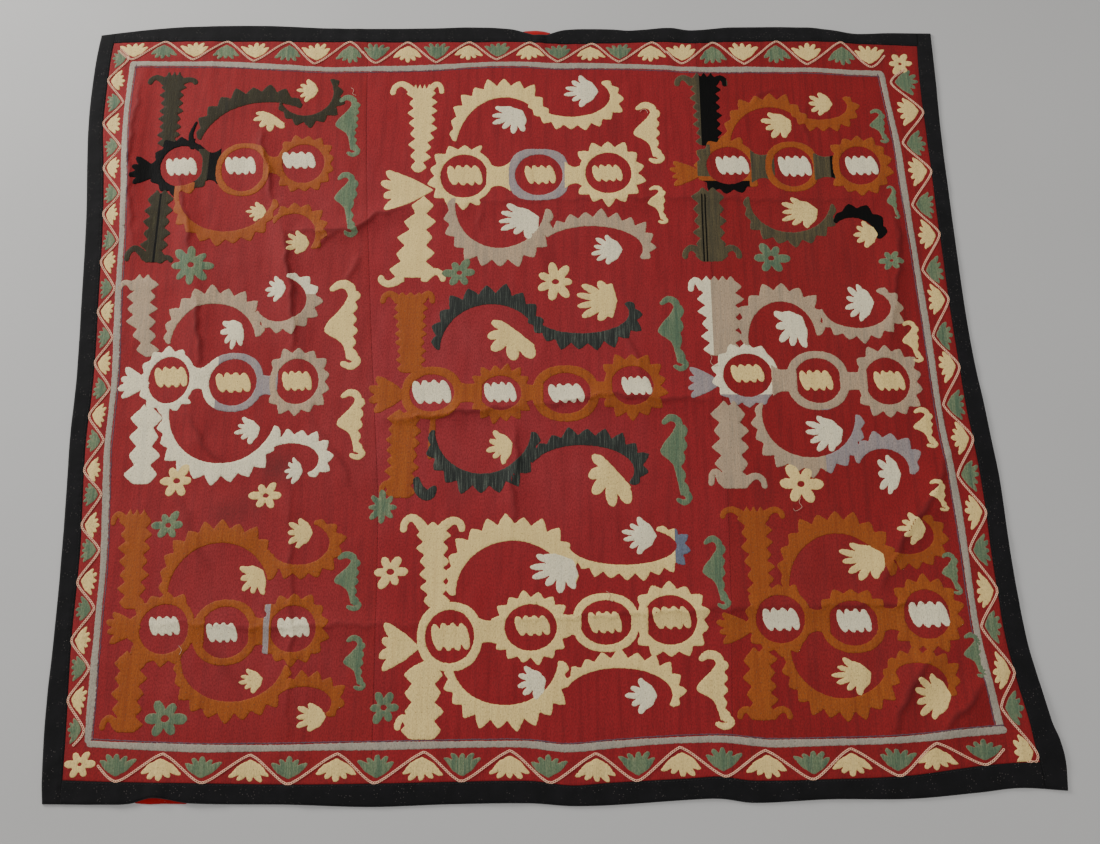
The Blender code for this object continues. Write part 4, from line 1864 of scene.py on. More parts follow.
@dataclass
class Lining:
    """The thin red lining, which shows below the bottom strip and in the notch of the top one."""

    lie: ClothLie
    inset: float = 4.0
    step: float = 3.5
    low_face: float = 0.05
    bottom_peek: tuple = (
        (-470, -530.0), (-462, -533.6), (-446, -534.5), (-430, -533.8), (-404, -534.2), (-398, -530)
    )
    top_peek: tuple = ((-24, 525.0), (-14, 528.6), (2, 529.5), (14, 528.0), (24, 525.0))
    up_shares: tuple = (
        0.0, 0.0015, 0.004, 0.008, 0.02, 0.06, 0.15, 0.3, 0.5, 0.7, 0.85, 0.94, 0.98, 0.992, 0.996, 1.0
    )

    def end(self, rows: Sequence, peek: Sequence, away: int) -> Curve:
        """Its bottom or top edge, with the stretch that reaches past the strip.

        Args:
            rows: the cloth's edge.
            peek: the stretch that shows past the strip.
            away: 1 for the top edge, -1 for the bottom.

        Returns:
            The edge as a curve.
        """
        edge = EdgeCurve(rows, "outer", -away * self.inset)
        places, reach = np.array(peek, float).T

        def curve(x: np.ndarray) -> np.ndarray:
            """The edge's y at places x.

            Args:
                x: places along the edge.

            Returns:
                The edge's places up.
            """
            usual = edge(x)
            peeking = np.interp(x, places, reach)
            within = (x > places[0]) & (x < places[-1])
            further = np.maximum(usual * away, peeking * away) * away
            return np.where(within, further, usual)

        return curve

    def height(self, x: np.ndarray, y: np.ndarray) -> np.ndarray:
        """Its upper face: flat, with a soft turned edge where it shows."""
        turned = np.exp(-(((y + 531.5) / 1.6) ** 2)) * ((x > -475) & (x < -395))
        return 0.92 + 0.06 * np.sin(x / 6.0) * np.sin(y / 9.0) - 0.3 * turned

    def build(self, material: bpy.types.Material) -> bpy.types.Object:
        """Builds the lining.

        Args:
            material: its finish.

        Returns:
            The lining.
        """
        left, right = EdgeCurve(LEFT_EDGE, "outer", self.inset), EdgeCurve(RIGHT_EDGE, "outer", -self.inset)
        bottom, top = self.end(BOTTOM_EDGE, self.bottom_peek, -1), self.end(TOP_EDGE, self.top_peek, 1)
        points = net(left, right, bottom, top, shares(1240.0, self.step), np.array(self.up_shares))
        rows, columns = points.shape[:2]
        flat = points.reshape(-1, 2)
        upper = np.column_stack([flat, self.height(flat[:, 0], flat[:, 1])])
        rim = net_rim(rows, columns)
        lower, more = close_below(upper, rim, lambda px, py: np.full(px.shape, self.low_face), 60.0)
        faces = net_faces(rows, columns) + more
        piece = make_piece("lining_cloth", np.vstack([upper, lower]), faces, [material])
        ClothPiece("lining_cloth", "lining", "lining").declare(piece, flat[rim])
        return piece


# The motifs: their places, sizes and threads follow the photo, and their outlines are the shapes above

MEDALLIONS = (
    Embroidery(
        "medallion_top_left",
        (
            Bar(OLIVE, ((-517, 452, 11), (-514, 336, 8)), 9, 9, 8, 3, 8),
            hook(OLIVE, -528, 440, -22, 10, 9),
            hook(OLIVE, -508, 440, 23, 6, 9),
            hand(BLACK, -562, 275, -519, 320),
            Ring(BLACK, (-491, 305), (30, 32), 8, 13, 8, (70, 330)),
            Strand(BLACK, ((-477, 376, 4), (-483, 354, 7), (-478, 334, 10))),
            Bridge(BLACK, -463, -438, 305, 30, 22),
            Ring(OCHRE, (-405, 300), (30, 34), 8),
            Bridge(OCHRE, -377, -351, 306, 20, 13),
            Ring(OCHRE, (-322, 310), (29, 30), 8, 15, 8, (-140, 140)),
            Cloud(WHITE, (-514, 289, -469, 319)),
            Cloud(WHITE, (-431, 291, -387, 321)),
            Cloud(WHITE, (-352, 301, -305, 329)),
            Sweep(OLIVE, (-378, 330), (92, 78), 168, 60, 9, 18, 12),
            Sweep(OLIVE, (-325, 424), (38, 37), 205, 395, 9, 11, 10),
            Palmette(CREAM, (-398, 360, -352, 394), 235, 5, 180, 0.42, 0.14, 0.1, 0.4),
            Palmette(CREAM, (-340, 408, -308, 447), 180),
            Bird(TEAL, (-281, 320, -243, 421), 0.5, 7),
            Bird(TEAL, (-276, 195, -240, 297), 0.6),
            Bar(OLIVE, ((-516, 262, 11), (-516, 158, 10)), 6, 6, 9, 2, 7),
            hook(OLIVE, -526, 164, -26, 16, 9),
            hook(OLIVE, -508, 160, 17, 6, 8),
            Sweep(OCHRE, (-424, 262), (65, 58), 178, 352, 11),
            Sweep(OCHRE, (-328, 200), (30, 31), 152, -38, 8, 11),
            Palmette(CREAM, (-397, 219, -367, 250), 180),
            Palmette(CREAM, (-337, 170, -305, 205), 180),
            Star(TEAL, (-462, 152), 27, 4.5, 8),
        ),
        (
            Zone(BLACK, OLIVE, (-470, 268, -454, 332)),
            Zone(BLACK, OCHRE, (-497, 256, -458, 279)),
            Zone(OLIVE, BLACK, (-517, 150, -514, 262)),
        ),
    ),
    Embroidery(
        "medallion_top_middle",
        (
            Bar(CREAM, ((-160, 430, 13), (-157, 366, 11), (-161, 296, 3)), 8, 9, 9, 4, 9),
            hook(CREAM, -172, 424, -30, 16, 9),
            hook(CREAM, -150, 426, 18, 14, 8),
            hand(CREAM, -213, 235, -138, 300),
            Ring(CREAM, (-97, 290), (33, 34), 8, 14, 10, (60, 300)),
            Bridge(CREAM, -66, -32, 290, 24, 15),
            Ring(LILAC, (7, 292), (33, 32), 9, boxiness=2.9),
            Bridge(CREAM, 43, 72, 292, 22, 13),
            Ring(CREAM, (104, 295), (32, 32), 9, 14, 11, (-150, 150)),
            Cloud(CREAM, (-121, 275, -71, 308)),
            Cloud(CREAM, (-13, 277, 31, 308)),
            Cloud(CREAM, (81, 281, 124, 309)),
            Sweep(CREAM, (-42, 330), (68, 86), 170, 36, 11, 19, 13, 0.25),
            Sweep(CREAM, (52, 418), (56, 33), 192, 400, 12, 14, 10),
            Palmette(WHITE, (-60, 357, -10, 402), 222, 6),
            Palmette(WHITE, (42, 400, 92, 453), 180, 6),
            Sweep(BEIGE, (-46, 246), (62, 66), 172, 354, 12, 18, 13),
            Sweep(BEIGE, (80, 179), (69, 34), 152, -22, 11, 14, 12),
            Palmette(WHITE, (-48, 193, 8, 247), 200, 6),
            Palmette(WHITE, (78, 155, 122, 200), 180, 6),
            Bird(CREAM, (140, 309, 184, 409), 0.48),
            Bird(CREAM, (157, 216, 186, 276), 0.52, 4),
            Bar(CREAM, ((-152, 256, 3), (-160, 196, 13), (-165, 136, 19)), 5, 5, 12, 1, 4),
            hook(CREAM, -178, 136, -28, -10, 10),
            hook(CREAM, -148, 134, 26, 12, 10),
            Star(TEAL, (-100, 143), 20, 4),
            Star(CREAM, (30, 130), 25, 5, 7),
        ),
    ),
    Embroidery(
        "medallion_top_right",
        (
            Bar(MOSS, ((243, 450, 15), (247, 338, 11)), 8, 8, 8, 3, 8),
            hook(MOSS, 226, 438, -22, 12, 9),
            hook(MOSS, 256, 438, 17, 12, 9),
            hand(OCHRE, 189, 274, 240, 314),
            Ring(OCHRE, (272, 307), (31, 29), 9, 13, 9, (60, 330)),
            Bridge(MOSS, 303, 336, 305, 26, 18),
            Ring(OCHRE, (361, 305), (29, 31), 9),
            Bridge(MOSS, 391, 427, 305, 22, 16),
            Ring(OCHRE, (455, 307), (29, 30), 9, 14, 9, (-150, 150)),
            Cloud(WHITE, (254, 292, 301, 323)),
            Cloud(WHITE, (341, 289, 388, 323)),
            Cloud(WHITE, (435, 291, 481, 323)),
            Sweep(OCHRE, (334, 336), (58, 64), 175, 34, 9, 13, 11),
            Sweep(OCHRE, (406, 402), (39, 22), 196, 394, 9, 12),
            Palmette(CREAM, (320, 350, 364, 392), 205),
            Palmette(CREAM, (390, 386, 425, 425), 180),
            Bird(TEAL, (474, 342, 501, 398), 0.5, 4),
            Bird(TEAL, (487, 222, 504, 276), 0.5, 4),
            Bar(MOSS, ((241, 265, 14), (242, 160, 13)), 6, 6, 9, 2, 8),
            hook(MOSS, 230, 168, -24, 14, 9),
            hook(MOSS, 254, 168, 26, 14, 9),
            Sweep(MOSS, (354, 254), (56, 50), 176, 352, 10),
            Sweep(BLACK, (438, 197), (31, 29), 138, -6, 5, 15, 8),
            Palmette(CREAM, (341, 210, 392, 256), 195, 6),
            Palmette(CREAM, (437, 180, 471, 222), 180),
            Star(TEAL, (323, 165), 22, 4.5),
            Star(TEAL, (485, 160), 15, 3),
        ),
        (
            Zone(MOSS, BLACK, (236, 330, 275, 465)),
            Zone(OCHRE, MOSS, (228, 290, 247, 340)),
            Zone(OCHRE, BLACK, (235, 255, 300, 283)),
            Zone(MOSS, BLACK, (231, 160, 233, 262)),
            Zone(MOSS, BLACK, (235.5, 160, 237.5, 262)),
            Zone(MOSS, BLACK, (414, 284, 419, 324)),
        ),
    ),
    Embroidery(
        "medallion_middle_left",
        (
            Bar(BEIGE, ((-526, 134, 11), (-524, 82, 10), (-508, 22, 3)), 6, 6, 11, 2, 8),
            hook(BEIGE, -537, 120, -20, 10, 8),
            hand(WHITE, -543, -36, -501, 9),
            Ring(WHITE, (-477, -10), (27, 32), 7, 13, 8, (60, 320)),
            Bridge(WHITE, -450, -426, -8, 22, 14),
            Ring(LILAC, (-393, -13), (31, 32), 9),
            Bridge(LILAC, -362, -334, -17, 20, 13),
            Ring(BEIGE, (-309, -12), (28, 31), 8, 14, 9, (-150, 150)),
            Cloud(CREAM, (-497, -21, -452, 9)),
            Cloud(CREAM, (-416, -28, -369, 1)),
            Cloud(CREAM, (-329, -26, -289, 3)),
            Sweep(BEIGE, (-424, 42), (56, 55), 182, 8, 11, 15, 12),
            Sweep(BEIGE, (-338, 103), (34, 31), 208, 440, 10, 12),
            Palmette(WHITE, (-416, 32, -383, 75), 225),
            Palmette(WHITE, (-361, 100, -331, 138), 180),
            Bird(CREAM, (-278, 4, -226, 133), 0.42, 6),
            Bird(CREAM, (-254, -119, -214, -22)),
            Bar(WHITE, ((-501, -50, 9), (-499, -150, 10)), 4, 4, 11, 2, 8),
            Sweep(WHITE, (-402, -52), (70, 71), 174, 344, 12, 16, 12),
            Sweep(WHITE, (-310, -118), (36, 22), 156, -52, 9),
            Palmette(WHITE, (-386, -98, -352, -60), 195),
            Palmette(WHITE, (-317, -151, -293, -114), 180),
            Star(CREAM, (-453, -146), 20, 4.5),
            Star(CREAM, (-338, -165), 18, 4),
        ),
        (
            Zone(LILAC, WHITE, (-440, -60, -414, 22)),
            Zone(BEIGE, WHITE, (-345, 112, -290, 165)),
        ),
    ),
    Embroidery(
        "medallion_centre",
        (
            Bar(OCHRE, ((-165, 110, 17), (-160, 0, 12)), 9, 9, 7, 3, 6),
            hook(OCHRE, -180, 102, -22, 12, 9),
            hook(OCHRE, -150, 102, 15, 12, 9),
            hand(OCHRE, -215, -56, -162, -4),
            Ring(OCHRE, (-132, -28), (29, 26), 11),
            Bridge(OCHRE, -102, -66, -28, 19, 13),
            Ring(OCHRE, (-42, -28), (27, 24), 8, 16, 10),
            Bridge(OCHRE, -14, 14, -28, 16, 11),
            Ring(OCHRE, (43, -28), (33, 28), 11),
            Bridge(OCHRE, 75, 104, -24, 18, 12),
            Ring(OCHRE, (130, -18), (28, 27), 9, 14, 11, (-150, 150)),
            Cloud(WHITE, (-158, -44, -106, -9)),
            Cloud(WHITE, (-64, -42, -21, -12)),
            Cloud(WHITE, (20, -43, 68, -14)),
            Cloud(WHITE, (116, -33, 156, -4)),
            Sweep(PINE, (-56, 32), (67, 65), 180, 24, 10, 16, 14),
            Sweep(PINE, (64, 85), (64, 29), 186, 386, 11, 14, 12),
            Palmette(CREAM, (-61, 17, 4, 75), 228, 5, 190, 0.4, 0.12, 0.12, 0.7),
            Palmette(CREAM, (58, 73, 113, 132), 180, 6, back=0.2, bulge=0.4),
            Bar(OCHRE, ((-166, -56, 15), (-168, -168, 12)), 8, 7, 8, 2, 6),
            hook(OCHRE, -178, -160, -14, 12, 8),
            Strand(PINE, ((-148, -142, 8), (-143, -158, 14), (-132, -164, 15), (-124, -154, 8))),
            Strand(OCHRE, ((-129, -60, 7), (-130, -90, 9), (-132, -116, 6))),
            Sweep(PINE, (-64, -76), (62, 60), 182, 356, 11, 16, 13),
            Sweep(PINE, (64, -132), (66, 33), 164, -28, 11, 14, 12),
            Palmette(CREAM, (-60, -125, -25, -78), 195),
            Palmette(CREAM, (71, -180, 127, -110), 228, 5, 190, 0.4, 0.12, 0.12, 0.7),
            Bird(TEAL, (166, 2, 206, 110), 0.52, 4),
            Bird(TEAL, (164, -178, 204, -56), 0.58),
            Star(TEAL, (-190, -180), 19, 0, 8),
        ),
    ),
    Embroidery(
        "medallion_middle_right",
        (
            Bar(BEIGE, ((250, 132, 22), (252, 24, 15)), 6, 6, 11, 4, 8),
            hook(BEIGE, 228, 120, -16, 14, 9),
            hand(LILAC, 203, -36, 250, 9),
            Ring(WHITE, (282, -3), (32, 30), 8, 14, 8, (50, 310)),
            Bridge(BEIGE, 313, 346, -11, 22, 15),
            Ring(BEIGE, (373, -11), (31, 31), 10),
            Bridge(BEIGE, 402, 438, -12, 18, 12),
            Ring(BEIGE, (464, -12), (30, 32), 9, 14, 10, (-150, 150)),
            Cloud(CREAM, (260, -14, 304, 13)),
            Cloud(CREAM, (349, -26, 393, 4)),
            Cloud(CREAM, (446, -26, 488, 3)),
            Sweep(BEIGE, (331, 48), (45, 53), 190, 4, 10, 16, 12),
            Sweep(BEIGE, (432, 92), (45, 29), 184, 412, 11),
            Palmette(WHITE, (321, 34, 365, 88), 222),
            Palmette(WHITE, (417, 72, 457, 127), 180, 6),
            Bar(BEIGE, ((255, -46, 13), (256, -156, 12)), 5, 5, 11, 2, 8),
            hook(BEIGE, 243, -148, -15, 16, 9),
            hook(BEIGE, 268, -152, 28, 14, 9),
            Sweep(BEIGE, (358, -58), (60, 57), 164, 360, 12, 14, 12),
            Sweep(LILAC, (450, -130), (32, 26), 166, -14, 7, 15),
            Palmette(WHITE, (352, -108, 401, -59), 195, 6),
            Palmette(WHITE, (441, -164, 471, -111), 180),
            Bird(CREAM, (489, 14, 516, 74), 0.5, 4),
            Bird(CREAM, (492, -103, 523, -47), 0.5, 4),
            Bird(CREAM, (502, -186, 528, -144), 0.5, 3),
            Star(CREAM, (342, -150), 25, 5),
        ),
        (
            Zone(BEIGE, WHITE, (200, 25, 239, 150)),
            Zone(WHITE, LILAC, (235, -60, 325, -30)),
            Zone(BEIGE, LILAC, (376, -140, 440, -50)),
        ),
    ),
    Embroidery(
        "medallion_bottom_left",
        (
            Bar(OCHRE, ((-499, -190, 13), (-493, -308, 8)), 7, 7, 9, 3, 8),
            hook(OCHRE, -512, -200, -16, 12, 8),
            hand(OCHRE, -522, -351, -477, -311),
            Ring(OCHRE, (-450, -332), (30, 30), 8, 14, 8, (50, 310)),
            Bridge(OCHRE, -420, -400, -334, 20, 14),
            Ring(OCHRE, (-375, -336), (31, 31), 9),
            Bridge(OCHRE, -346, -318, -335, 26, 16),
            Ring(OCHRE, (-292, -332), (28, 28), 8, 14, 9, (-150, 150)),
            Cloud(WHITE, (-469, -341, -430, -316)),
            Cloud(WHITE, (-398, -349, -359, -324)),
            Cloud(WHITE, (-311, -343, -271, -317)),
            Sweep(OCHRE, (-388, -288), (62, 62), 182, 14, 12, 18, 12),
            Sweep(OCHRE, (-292, -226), (38, 27), 196, 425, 10),
            Palmette(CREAM, (-364, -291, -329, -254), 225),
            Palmette(CREAM, (-307, -233, -275, -194), 180),
            Bird(TEAL, (-246, -311, -209, -236)),
            Bird(TEAL, (-229, -406, -199, -339)),
            Bar(OCHRE, ((-486, -364, 12), (-484, -454, 10)), 5, 5, 9, 2, 7),
            hook(OCHRE, -494, -448, -18, 12, 8),
            Sweep(OCHRE, (-362, -368), (63, 50), 182, 352, 11, 14, 11),
            Sweep(OCHRE, (-274, -420), (34, 19), 156, -38, 8, 11),
            Palmette(CREAM, (-354, -409, -324, -379), 195),
            Palmette(CREAM, (-281, -453, -245, -419), 180),
            Star(TEAL, (-458, -203), 18, 4),
            Star(TEAL, (-438, -438), 22, 5),
        ),
        (Zone(OCHRE, LILAC, (-328, -366, -321, -302)),),
    ),
    Embroidery(
        "medallion_bottom_middle",
        (
            Bar(CREAM, ((-125, -208, 13), (-118, -306, 8)), 6, 6, 9, 1, 10),
            hook(CREAM, -136, -208, -26, 16, 10),
            hook(CREAM, -114, -208, 26, 12, 10),
            hand(CREAM, -186, -383, -135, -324),
            Ring(CREAM, (-100, -341), (30, 32), 10),
            Bridge(CREAM, -70, -36, -335, 20, 13),
            Ring(CREAM, (-1, -330), (32, 28), 8, 16, 9),
            Bridge(CREAM, 31, 61, -327, 17, 12),
            Ring(CREAM, (91, -324), (32, 27), 9),
            Bridge(CREAM, 122, 143, -322, 17, 12),
            Ring(CREAM, (170, -321), (33, 30), 8, 14, 9, (-150, 150)),
            Cloud(CREAM, (-123, -359, -75, -324)),
            Cloud(CREAM, (-21, -341, 23, -315)),
            Cloud(CREAM, (69, -338, 111, -310)),
            Cloud(CREAM, (148, -333, 196, -304)),
            Sweep(CREAM, (-24, -288), (70, 65), 183, 8, 13, 21, 13),
            Sweep(CREAM, (114, -229), (67, 24), 184, 412, 14, 11),
            Palmette(WHITE, (-3, -289, 58, -239), 222, 6),
            Palmette(WHITE, (112, -241, 157, -192), 180, 6),
            Bar(CREAM, ((-130, -376, 13), (-130, -462, 14)), 4, 4, 10, 1, 6),
            hook(CREAM, -143, -448, -17, 12, 9),
            Sweep(CREAM, (-32, -370), (64, 52), 185, 360, 12, 18, 13),
            Sweep(CREAM, (106, -410), (64, 31), 166, -22, 11, 12, 11),
            Palmette(WHITE, (-17, -416, 18, -376), 195),
            Palmette(WHITE, (112, -433, 152, -390), 180),
            Bird(TEAL, (212, -309, 246, -216)),
            Bird(CREAM, (199, -451, 244, -357)),
            Star(CREAM, (-176, -262), 20, 5),
            Star(TEAL, (-177, -425), 18, 4),
        ),
        (Zone(CREAM, BLUE, (179, -262, 214, -205)),),
    ),
    Embroidery(
        "medallion_bottom_right",
        (
            Bar(OCHRE, ((280, -186, 13), (285, -294, 8)), 6, 7, 9, 3, 8),
            hook(OCHRE, 268, -192, -28, 10, 8),
            hook(OCHRE, 292, -192, 24, 10, 8),
            hand(OCHRE, 226, -351, 277, -312),
            Ring(OCHRE, (305, -320), (30, 29), 8, 14, 8, (50, 310)),
            Bridge(OCHRE, 335, 366, -322, 20, 13),
            Ring(OCHRE, (394, -325), (31, 27), 9, 14, 8, (10, 170)),
            Bridge(OCHRE, 424, 458, -320, 20, 13),
            Ring(OCHRE, (485, -314), (28, 30), 9, 14, 10, (-150, 150)),
            Cloud(WHITE, (283, -335, 329, -306)),
            Cloud(WHITE, (374, -337, 417, -307)),
            Cloud(WHITE, (463, -331, 512, -298)),
            Sweep(OCHRE, (382, -282), (63, 68), 182, 12, 12, 18, 12),
            Sweep(OCHRE, (468, -216), (36, 24), 200, 414, 9),
            Palmette(CREAM, (383, -273, 439, -225), 205, 6),
            Palmette(CREAM, (457, -229, 495, -187), 180),
            Bar(OCHRE, ((277, -360, 12), (277, -440, 10)), 4, 5, 9, 2, 7),
            hook(OCHRE, 268, -436, -18, 10, 8),
            hook(OCHRE, 288, -436, 22, 10, 8),
            Sweep(OCHRE, (376, -358), (60, 56), 178, 352, 12, 16, 12),
            Sweep(OCHRE, (466, -398), (36, 25), 166, -28, 9),
            Palmette(CREAM, (362, -411, 412, -366), 195, 6),
            Palmette(CREAM, (460, -439, 505, -385), 180, 6),
            Bird(TEAL, (509, -291, 534, -237), 0.5, 4),
            Bird(TEAL, (524, -391, 551, -336), 0.5, 4),
        ),
    ),
)


# The border: a stripe at an inset from the cloth's edge, and leaves in the bends of a vine outside it


class LeafRun(NamedTuple):
    """Leaves at an even pitch along a side; every other one turns its fingers outwards."""

    first: float
    last: float
    count: int
    outward: Thread
    inward: Thread
    outward_first: bool


@dataclass(frozen=True)
class BorderSide:
    """One side of the border.

    The insets run from the stripe's middle line to the cloth's edge, at even stations between the
    stripe's ends. The vine's and the leaves' levels are shares of the way from the stripe to the edge, and
    a leaf's two sizes are shares of the inset and of the pitch.
    """

    name: str
    rows: tuple
    upright: bool
    out: int
    ends: Point
    insets: tuple
    runs: tuple
    stars: tuple = ()
    stripe: float = 8.5
    violet_inset: float = 5.6
    violet: float = 1.7
    vine_low: float = 0.27
    vine_high: float = 0.92
    leaf_across: float = 0.66
    cream_leaf: float = 0.96
    teal_leaf: float = 0.88
    outward_leaf: float = 0.63
    inward_leaf: float = 0.54

    def place(self, along: np.ndarray, share: np.ndarray) -> np.ndarray:
        """Places between the stripe's middle line, share 0, and the cloth's edge, share 1."""
        along = np.asarray(along, float)
        line = EdgeCurve(self.rows, "inner")(along) - self.out * self.inset(along) * (1 - np.asarray(share))
        return np.column_stack([line, along] if self.upright else [along, line])

    def inset(self, along: np.ndarray) -> np.ndarray:
        """The stripe's distance from the edge at some places along the side."""
        stations = np.linspace(*self.ends, len(self.insets))
        order = np.argsort(stations)
        return np.interp(along, stations[order], np.array(self.insets, float)[order])

    def spots(self, run: LeafRun) -> list:
        """Where a run's leaves sit along the side, and whether each turns outwards.

        Args:
            run: the run of leaves.

        Returns:
            A place and an answer for each leaf.
        """
        places = np.linspace(run.first, run.last, run.count)
        pitch = abs(run.last - run.first) / (run.count - 1)
        places = places + 0.05 * pitch * np.sin(2.9 * np.arange(run.count))
        return [(at, (number % 2 == 0) == run.outward_first) for number, at in enumerate(places)]

    def leaves(self) -> list:
        """The half-palmettes of the side.

        Returns:
            The leaves as palmettes.
        """
        made = []
        for run in self.runs:
            pitch = abs(run.last - run.first) / (run.count - 1)
            for at, outward in self.spots(run):
                thread = run.outward if outward else run.inward
                across = self.leaf_across * float(self.inset(at))
                long = pitch * (self.cream_leaf if thread is CREAM else self.teal_leaf)
                (x, y), = self.place([at], [self.outward_leaf if outward else self.inward_leaf])
                wide, high = (across, long) if self.upright else (long, across)
                aim = (0 if self.upright else 90) + (0 if (self.out > 0) == outward else 180)
                box = (x - wide / 2, y - high / 2, x + wide / 2, y + high / 2)
                made.append(Palmette(thread, box, aim, 5, 128, 0.4, 0.45, 0.12))
        return made

    def vine(self) -> list:
        """The wavy line, which passes behind the back of every leaf.

        Returns:
            One path for each run of leaves.
        """
        made = []
        for run in self.runs:
            pitch = (run.last - run.first) / (run.count - 1)
            along, share = [], []
            for at, outward in self.spots(run):
                level = self.vine_low if outward else self.vine_high
                along.extend([at - 0.14 * pitch, at + 0.14 * pitch])
                share.extend([level, level])
            along = [along[0] - 0.3 * pitch, *along, along[-1] + 0.3 * pitch]
            middle = (self.vine_low + self.vine_high) / 2
            made.append(smooth_path(self.place(along, [middle, *share, middle]), 1.5))
        return made

    def embroidery(self) -> Embroidery:
        """The side's leaves and stars as a piece of embroidery."""
        return Embroidery(f"border_{self.name}", (*self.leaves(), *self.stars))

    def stripe_shapes(self) -> list:
        """The grey stripe of the side, over the thin line along its inner side.

        Returns:
            The thin line and the stripe as strands.
        """
        along = np.linspace(*self.ends, 24)
        widths = self.stripe * (1 + 0.1 * np.sin(along / 37.0))
        middle = self.place(along, np.zeros(24))
        inner = self.place(along, -self.violet_inset / self.inset(along))
        grey = Strand(ASH, tuple((x, y, w) for (x, y), w in zip(middle.tolist(), widths.tolist())))
        return [Strand(VIOLET, tuple((x, y, self.violet) for x, y in inner.tolist())), grey]


BORDER_SIDES = (
    BorderSide(
        "top", TOP_EDGE, False, 1, (-580, 499), (37, 38, 46, 44, 36, 37, 45, 48, 48),
        (
            LeafRun(-580, -270, 8, CREAM, TEAL, True),
            LeafRun(-228, 168, 10, TEAL, CREAM, True),
            LeafRun(212, 487, 7, CREAM, TEAL, True),
        ),
        (Star(CREAM, (527, 472), 17, 3),),
    ),
    BorderSide(
        "right", RIGHT_EDGE, True, 1, (456, -453), (54, 43, 40, 36, 35, 38, 33, 34, 36),
        (LeafRun(440, -476, 20, TEAL, CREAM, True),),
    ),
    BorderSide(
        "bottom", BOTTOM_EDGE, False, -1, (-526, 565), (42, 39, 42, 42, 41, 44, 42, 41, 38),
        (LeafRun(-488, 535, 21, CREAM, TEAL, False),),
        (Star(CREAM, (-533, -490), 16, 3),),
    ),
    BorderSide(
        "left", LEFT_EDGE, True, -1, (-464, 471), (27, 31, 30, 29, 28, 26, 28, 32, 33),
        (LeafRun(480, -452, 27, TEAL, CREAM, True),),
    ),
)


# Stitches


BLACK_FINISHES = ("black_thread", "pine_thread")


class StitchTree:
    """A Geometry Nodes tree with named inputs and one geometry output."""

    def __init__(self, name: str, inputs: Sequence) -> None:
        """Opens the tree.

        Args:
            name: its name.
            inputs: pairs of an input's name and its socket type.
        """
        self.tree = bpy.data.node_groups.new(name, "GeometryNodeTree")
        for label, kind in (("Geometry", "NodeSocketGeometry"), *inputs):
            self.tree.interface.new_socket(label, in_out="INPUT", socket_type=kind)
        self.tree.interface.new_socket("Geometry", in_out="OUTPUT", socket_type="NodeSocketGeometry")
        self.given = self.node("NodeGroupInput").outputs
        self.out = self.node("NodeGroupOutput")

    def node(self, kind: str, links: Optional[dict] = None, **settings) -> bpy.types.Node:
        """Adds a node, sets its properties, and links or sets its inputs.

        Args:
            kind: the node's type.
            links: sockets or values for its inputs.
            **settings: its own properties.

        Returns:
            The node.
        """
        made = self.tree.nodes.new(kind)
        for key, value in settings.items():
            setattr(made, key, value)
        for key, value in (links or {}).items():
            if isinstance(value, bpy.types.NodeSocket):
                self.tree.links.new(value, made.inputs[key])
            else:
                made.inputs[key].default_value = value
        return made

    def close(self, instances: bpy.types.NodeSocket) -> bpy.types.NodeTree:
        """Realizes the instances, sets their material and ends the tree.

        Args:
            instances: the stitches.

        Returns:
            The finished node tree.
        """
        real = self.node("GeometryNodeRealizeInstances", {"Geometry": instances})
        links = {"Geometry": real.outputs[0], "Material": self.given["Material"]}
        painted = self.node("GeometryNodeSetMaterial", links)
        self.tree.links.new(painted.outputs[0], self.out.inputs[0])
        return self.tree

    def apply(self, base: bpy.types.Object, name: str, values: dict) -> bpy.types.Object:
        """Runs the tree on an object and keeps the result as a plain mesh.

        Args:
            base: the object to run it on; it is removed afterwards.
            name: the new piece's name.
            values: the inputs' values by name.

        Returns:
            The piece.
        """
        modifier = base.modifiers.new(name, "NODES")
        modifier.node_group = self.tree
        for item in self.tree.interface.items_tree:
            if item.in_out == "INPUT" and item.name in values:
                modifier[item.identifier] = values[item.name]
        evaluated = base.evaluated_get(bpy.context.evaluated_depsgraph_get())
        mesh = bpy.data.meshes.new_from_object(evaluated)
        mesh.name = name
        piece = bpy.data.objects.new(name, mesh)
        bpy.context.scene.collection.objects.link(piece)
        base.modifiers.remove(modifier)
        bpy.data.objects.remove(base)
        LOG.info("%s: %d faces", name, len(mesh.polygons))
        return piece


